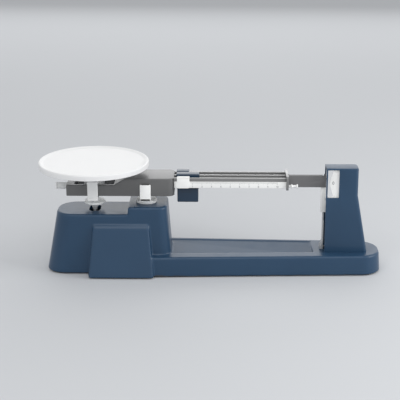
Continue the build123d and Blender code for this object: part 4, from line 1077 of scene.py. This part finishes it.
class BALANCE_OT_poises(bpy.types.Operator):
    """The three sliding poises with their cross pins"""
    bl_idname = "balance.poises"
    bl_label = "Poises"

    def execute(self, context):
        rear = self.saddle("poise_rear", 17.5, 15.0, 6.3, 118.0, 137.0)
        fit_out(rear, finish("poise_paint"), "rear_poise", "rear_poise")
        upper = self.saddle("poise_middle", 32.0, 0.0, 6.7, 116.4, 137.0)
        centre = POISE_START + 16.0
        half_length = 14.6
        hanging = block(
            "poise_block", at(centre - half_length, -9.0, 97.4), at(centre + half_length, 9.0, 117.4),
            1.5 * MM, 4,
        )
        smooth_by_angle(hanging)
        middle_poise = joined("poise_middle", [upper, hanging])
        fit_out(middle_poise, finish("poise_paint"), "middle_poise", "middle_poise")
        fit_out(self.front(POISE_START + 10.0), finish("white"), "front_poise", "front_poise")
        copy_piece("rear_poise_roller", "rear_poise_roller_pin", "steel", "rear_poise", 0.15)
        copy_piece("middle_poise_roller", "middle_poise_roller_pin", "steel", "middle_poise", 0.15)
        return {"FINISHED"}

    def saddle(self, name, length, y, half, low, high):
        """A rounded saddle with the slot for its beam"""
        end = POISE_START + length
        body = block(name, at(POISE_START, y - half, low), at(end, y + half, high), 1.4 * MM, 4)
        slot = block("slot", at(POISE_START - 1, y - 2.3, 120.7), at(end + 1, y + 2.3, 135.0))
        body = cut(body, slot)
        smooth_by_angle(body)
        return body

    def front(self, centre):
        """White slider: a cap over the beam's edge and a round-bottomed skirt over the scale"""
        left, right = centre - 8.55, centre + 8.55
        wide_left, wide_right = centre - 10.0, centre + 10.0
        shoulder = 130.4
        cap_top = 135.9
        outline = [
            (left, cap_top, 0.8), (right, cap_top, 0.8), (right, shoulder + 0.8, 0.5),
            (wide_right, shoulder, 0.5), (wide_right, 121.2, 3.8), (wide_left, 121.2, 3.8),
            (wide_left, shoulder, 0.5), (left, shoulder + 0.8, 0.5),
        ]
        skirt = plate("slider_skirt", outline, -21.5, -18.9, edge=0.6 * MM, steps=7, segments=3)
        cap = block("slider_cap", at(left, -21.0, 135.0), at(right, -11.5, cap_top), 0.3 * MM, 2)
        back = block("slider_back", at(left, -12.7, 122.0), at(right, -11.5, 135.7), 0.3 * MM, 2)
        return joined("poise_front", [skirt, cap, back])


# Pan support

class BALANCE_OT_support(bpy.types.Operator):
    """Stirrup that carries the pan on the lever, its foot, stem and check rod"""
    bl_idname = "balance.support"
    bl_label = "Pan support"

    def execute(self, context):
        half_width = 7.15
        parts = [self.hub()]
        for side in (-1, 1):
            near, far = sorted((side * STRAP_INSIDE, side * 27.3))
            strap = block(
                "strap", at(-half_width, near, STRAP_SHELF), at(half_width, far, 131.4), 0.6 * MM
            )
            near, far = sorted((side * 10.0, side * 26.9))
            cross_bar = block(
                "cross_bar", at(-half_width, near, 127.45), at(half_width, far, 131.35), 0.6 * MM
            )
            parts += [strap, cross_bar]
        for part in parts[1:]:
            smooth_by_angle(part)
        fit_out(joined("support_yoke", parts), finish("plated"), "pan_support", "pan_yoke")
        copy_piece("pan_bearings", "hub_bearings", "dark_steel", "pan_support", 0.15)
        bar = block(
            "foot_bar", at(-half_width, -27.3, STRAP_LOW), at(half_width, 27.3, STRAP_SHELF), 0.7 * MM
        )
        smooth_by_angle(bar)
        fit_out(bar, finish("plated"), "pan_support")
        fit_out(self.foot_disc(), finish("disc"), "pan_support", "yoke_foot")
        copy_piece("yoke_foot_screws", "strap_screws", "screw", "pan_support", 0.2)
        copy_piece("check_stem", "guide_stem", "steel", "pan_support", 0.2)
        copy_piece("stem_pin", "fork_pin", "dark_steel", "pan_support", 0.2)
        copy_piece("check_rod", "guide_rod", "steel", "check_rod", 0.3)
        return {"FINISHED"}

    def hub(self):
        """Round sleeve for the pan's boss, slotted below for the lever's knife"""
        bore = 5.05
        radius = 14.7
        hub = turned(
            "support_hub", at(0, 0, 113.5),
            [(bore, 0, 0), (radius, 0, 0.5), (radius, 27.5, 0.9), (bore, 27.5, 0.3), (bore, 16.0, 0),
             (bore, 0, 0)],
            steps=96,
        )
        hub = cut(hub, block("channel", at(-5.0, -16.0, 110), at(5.0, 16.0, 127.5)))
        smooth_by_angle(hub)
        return hub

    def foot_disc(self):
        """Round foot of the stirrup, with a cone below and a boss above"""
        return turned(
            "foot_disc", at(0, 0, 88.0),
            [(0, 0, 0), (4.3, 0, 0.5), (7.0, 5.0, 0.6), (13.6, 5.5, 0.5), (14.7, 6.4, 0.8),
             (14.7, 8.4, 0.8), (13.9, 9.2, 0.5), (7.4, 9.2, 0.8), (6.0, 10.6, 0.8), (6.0, 16.4, 0),
             (0, 16.4, 0)],
            steps=96,
        )


# Pan

PAN_TOP = 155.0
PAN_RADIUS = 76.2


class BALANCE_OT_pan(bpy.types.Operator):
    """Round dished pan with its turned-down rim, and the boss that drops into the support"""
    bl_idname = "balance.pan"
    bl_label = "Pan"

    def execute(self, context):
        dish_top = PAN_TOP - 1.6
        rim_low = PAN_TOP - 7.4
        underside = PAN_TOP - 3.4
        rim_inside = 74.4
        dish = turned(
            "pan_dish", at(0, 0, 0),
            [(0, dish_top, 0), (69.6, dish_top, 3.0), (73.4, PAN_TOP - 0.1, 0.8),
             (75.0, PAN_TOP + 0.1, 0.9), (PAN_RADIUS, PAN_TOP - 1.0, 0.9), (PAN_RADIUS, rim_low, 0.3),
             (rim_inside, rim_low, 0.3), (rim_inside, underside, 1.2), (71.0, underside, 0),
             (0, underside, 0)],
            steps=context.scene.balance_sizes.pan_steps, rounds=5,
        )
        smooth_by_angle(dish, 50)
        fit_out(dish, finish("pan"), "pan", "pan")
        boss = turned(
            "pan_boss", at(0, 0, 0),
            [(0, 130.5, 0), (4.3, 130.5, 0.4), (5.0, 131.3, 0.3), (5.0, 141.0, 0), (11.0, 141.0, 0.6),
             (11.0, 148.2, 1.4), (13.0, 149.6, 1.0), (19.0, 149.6, 0.5), (19.0, 151.6, 0), (0, 151.6, 0)],
            steps=96,
        )
        fit_out(boss, finish("plated"), "pan", "pan_hub")
        return {"FINISHED"}


# Stage

class BALANCE_OT_stage(bpy.types.Operator):
    """Pale floor and surround, soft studio light, and the camera of the photograph"""
    bl_idname = "balance.stage"
    bl_label = "Stage"

    def execute(self, context):
        clear_selection()
        bpy.ops.mesh.primitive_plane_add(size=1, location=(0, 0, 0))
        floor = context.object
        floor.name = "floor"
        edit_all(floor)
        bpy.ops.transform.resize(value=(14, 14, 1))
        leave_edit()
        floor.data.materials.append(self.pale_floor())
        self.lamp("key_softbox", (-0.35, -1.7, 1.9), (0.0, 0.0, 0.08), 2.4, 1.8, 22.0)
        self.lamp("right_panel", (1.35, -0.35, 0.6), (0.2, 0.0, 0.08), 1.0, 0.9, 11.0)
        self.lamp("back_panel", (0.1, 2.3, 0.95), (0.0, 0.0, 0.06), 3.4, 1.3, 12.0)
        self.surround(context)
        self.camera(context)
        context.scene.view_settings.view_transform = "Standard"
        return {"FINISHED"}

    def pale_floor(self):
        """Pale matt finish with a slow, barely seen mottling"""
        colour = tuple(bpy.context.scene.balance_finishes.floor_colour) + (1.0,)
        material, tree, shader = finish_base("Pale floor", colour, 0.85)
        mottle = group_node(tree, shared("grain", grain_group), Scale=900.0, Mottle_Scale=1.2)
        shade_between(tree, shader, mottle.outputs["Mottle"], dimmed(colour, 0.985), colour)
        add_bump(tree, shader, mottle.outputs["Height"], 0.03, 0.0002)
        return material

    def lamp(self, name, place, target, width, depth, power):
        """A soft rectangular lamp aimed at a point"""
        clear_selection()
        aim = (Vector(target) - Vector(place)).to_track_quat("-Z", "Y").to_euler()
        bpy.ops.object.light_add(type="AREA", location=place, rotation=aim)
        lamp = bpy.context.object
        lamp.name = name
        lamp.data.shape = "RECTANGLE"
        lamp.data.size = width
        lamp.data.size_y = depth
        lamp.data.energy = power
        return lamp

    def surround(self, context):
        """World: pale to the camera and to reflections, dim as a light"""
        world = bpy.data.worlds.new("Surround")
        context.scene.world = world
        world.use_nodes = True
        tree = world.node_tree
        back = tree.nodes["Background"]
        path = tree.nodes.new("ShaderNodeLightPath")
        seen = math_node(tree, "ADD", path.outputs["Is Camera Ray"], path.outputs["Is Transmission Ray"])
        seen = math_node(tree, "MINIMUM", math_node(tree, "ADD", seen, path.outputs["Is Glossy Ray"]), 1.0)
        back.inputs["Color"].default_value = (0.80, 0.81, 0.82, 1.0)
        tree.links.new(range_node(tree, seen, 0.0, 1.0, 0.72, 1.0), back.inputs["Strength"])

    def camera(self, context):
        """Camera at the photograph's angle and distance"""
        target = Vector((-0.01535, 0.0, 0.0997))
        back = Vector((0.01443, -0.95014, 0.3115)).normalized()
        distance = 1.5061
        clear_selection()
        bpy.ops.object.camera_add(
            location=target + back * distance, rotation=(-back).to_track_quat("-Z", "Y").to_euler()
        )
        camera = context.object
        camera.name = "photo_camera"
        camera.data.lens = 96.83
        camera.data.sensor_width = 36.0
        camera.data.clip_start = 0.01
        camera.data.dof.use_dof = False
        context.scene.camera = camera


class BALANCE_PT_panel(bpy.types.Panel):
    """Lists the balance's pieces"""
    bl_idname = "BALANCE_PT_panel"
    bl_label = "Triple Beam Balance"
    bl_space_type = "VIEW_3D"
    bl_region_type = "UI"
    bl_category = "Balance"

    def draw(self, context):
        for group in (context.scene.balance_sizes, context.scene.balance_finishes):
            for name in group.__annotations__:
                self.layout.prop(group, name)
        for operator in OPERATORS:
            self.layout.operator(operator.bl_idname)


OPERATORS = (
    BALANCE_OT_stage, BALANCE_OT_base, BALANCE_OT_tower, BALANCE_OT_stand, BALANCE_OT_lever,
    BALANCE_OT_beams, BALANCE_OT_pointer, BALANCE_OT_poises, BALANCE_OT_support, BALANCE_OT_pan,
)
CLASSES = (BalanceSizes, BalanceFinishes) + OPERATORS + (BALANCE_PT_panel,)


def register():
    for item in CLASSES:
        bpy.utils.register_class(item)
    bpy.types.Scene.balance_sizes = PointerProperty(type=BalanceSizes)
    bpy.types.Scene.balance_finishes = PointerProperty(type=BalanceFinishes)


def unregister():
    del bpy.types.Scene.balance_finishes
    del bpy.types.Scene.balance_sizes
    for item in reversed(CLASSES):
        bpy.utils.unregister_class(item)


def main():
    register()
    bpy.ops.balance.stage()
    bpy.ops.balance.base()
    bpy.ops.balance.tower()
    bpy.ops.balance.stand()
    bpy.ops.balance.lever()
    bpy.ops.balance.beams()
    bpy.ops.balance.pointer()
    bpy.ops.balance.poises()
    bpy.ops.balance.support()
    bpy.ops.balance.pan()
    clear_selection()


if __name__ == "__main__":
    main()
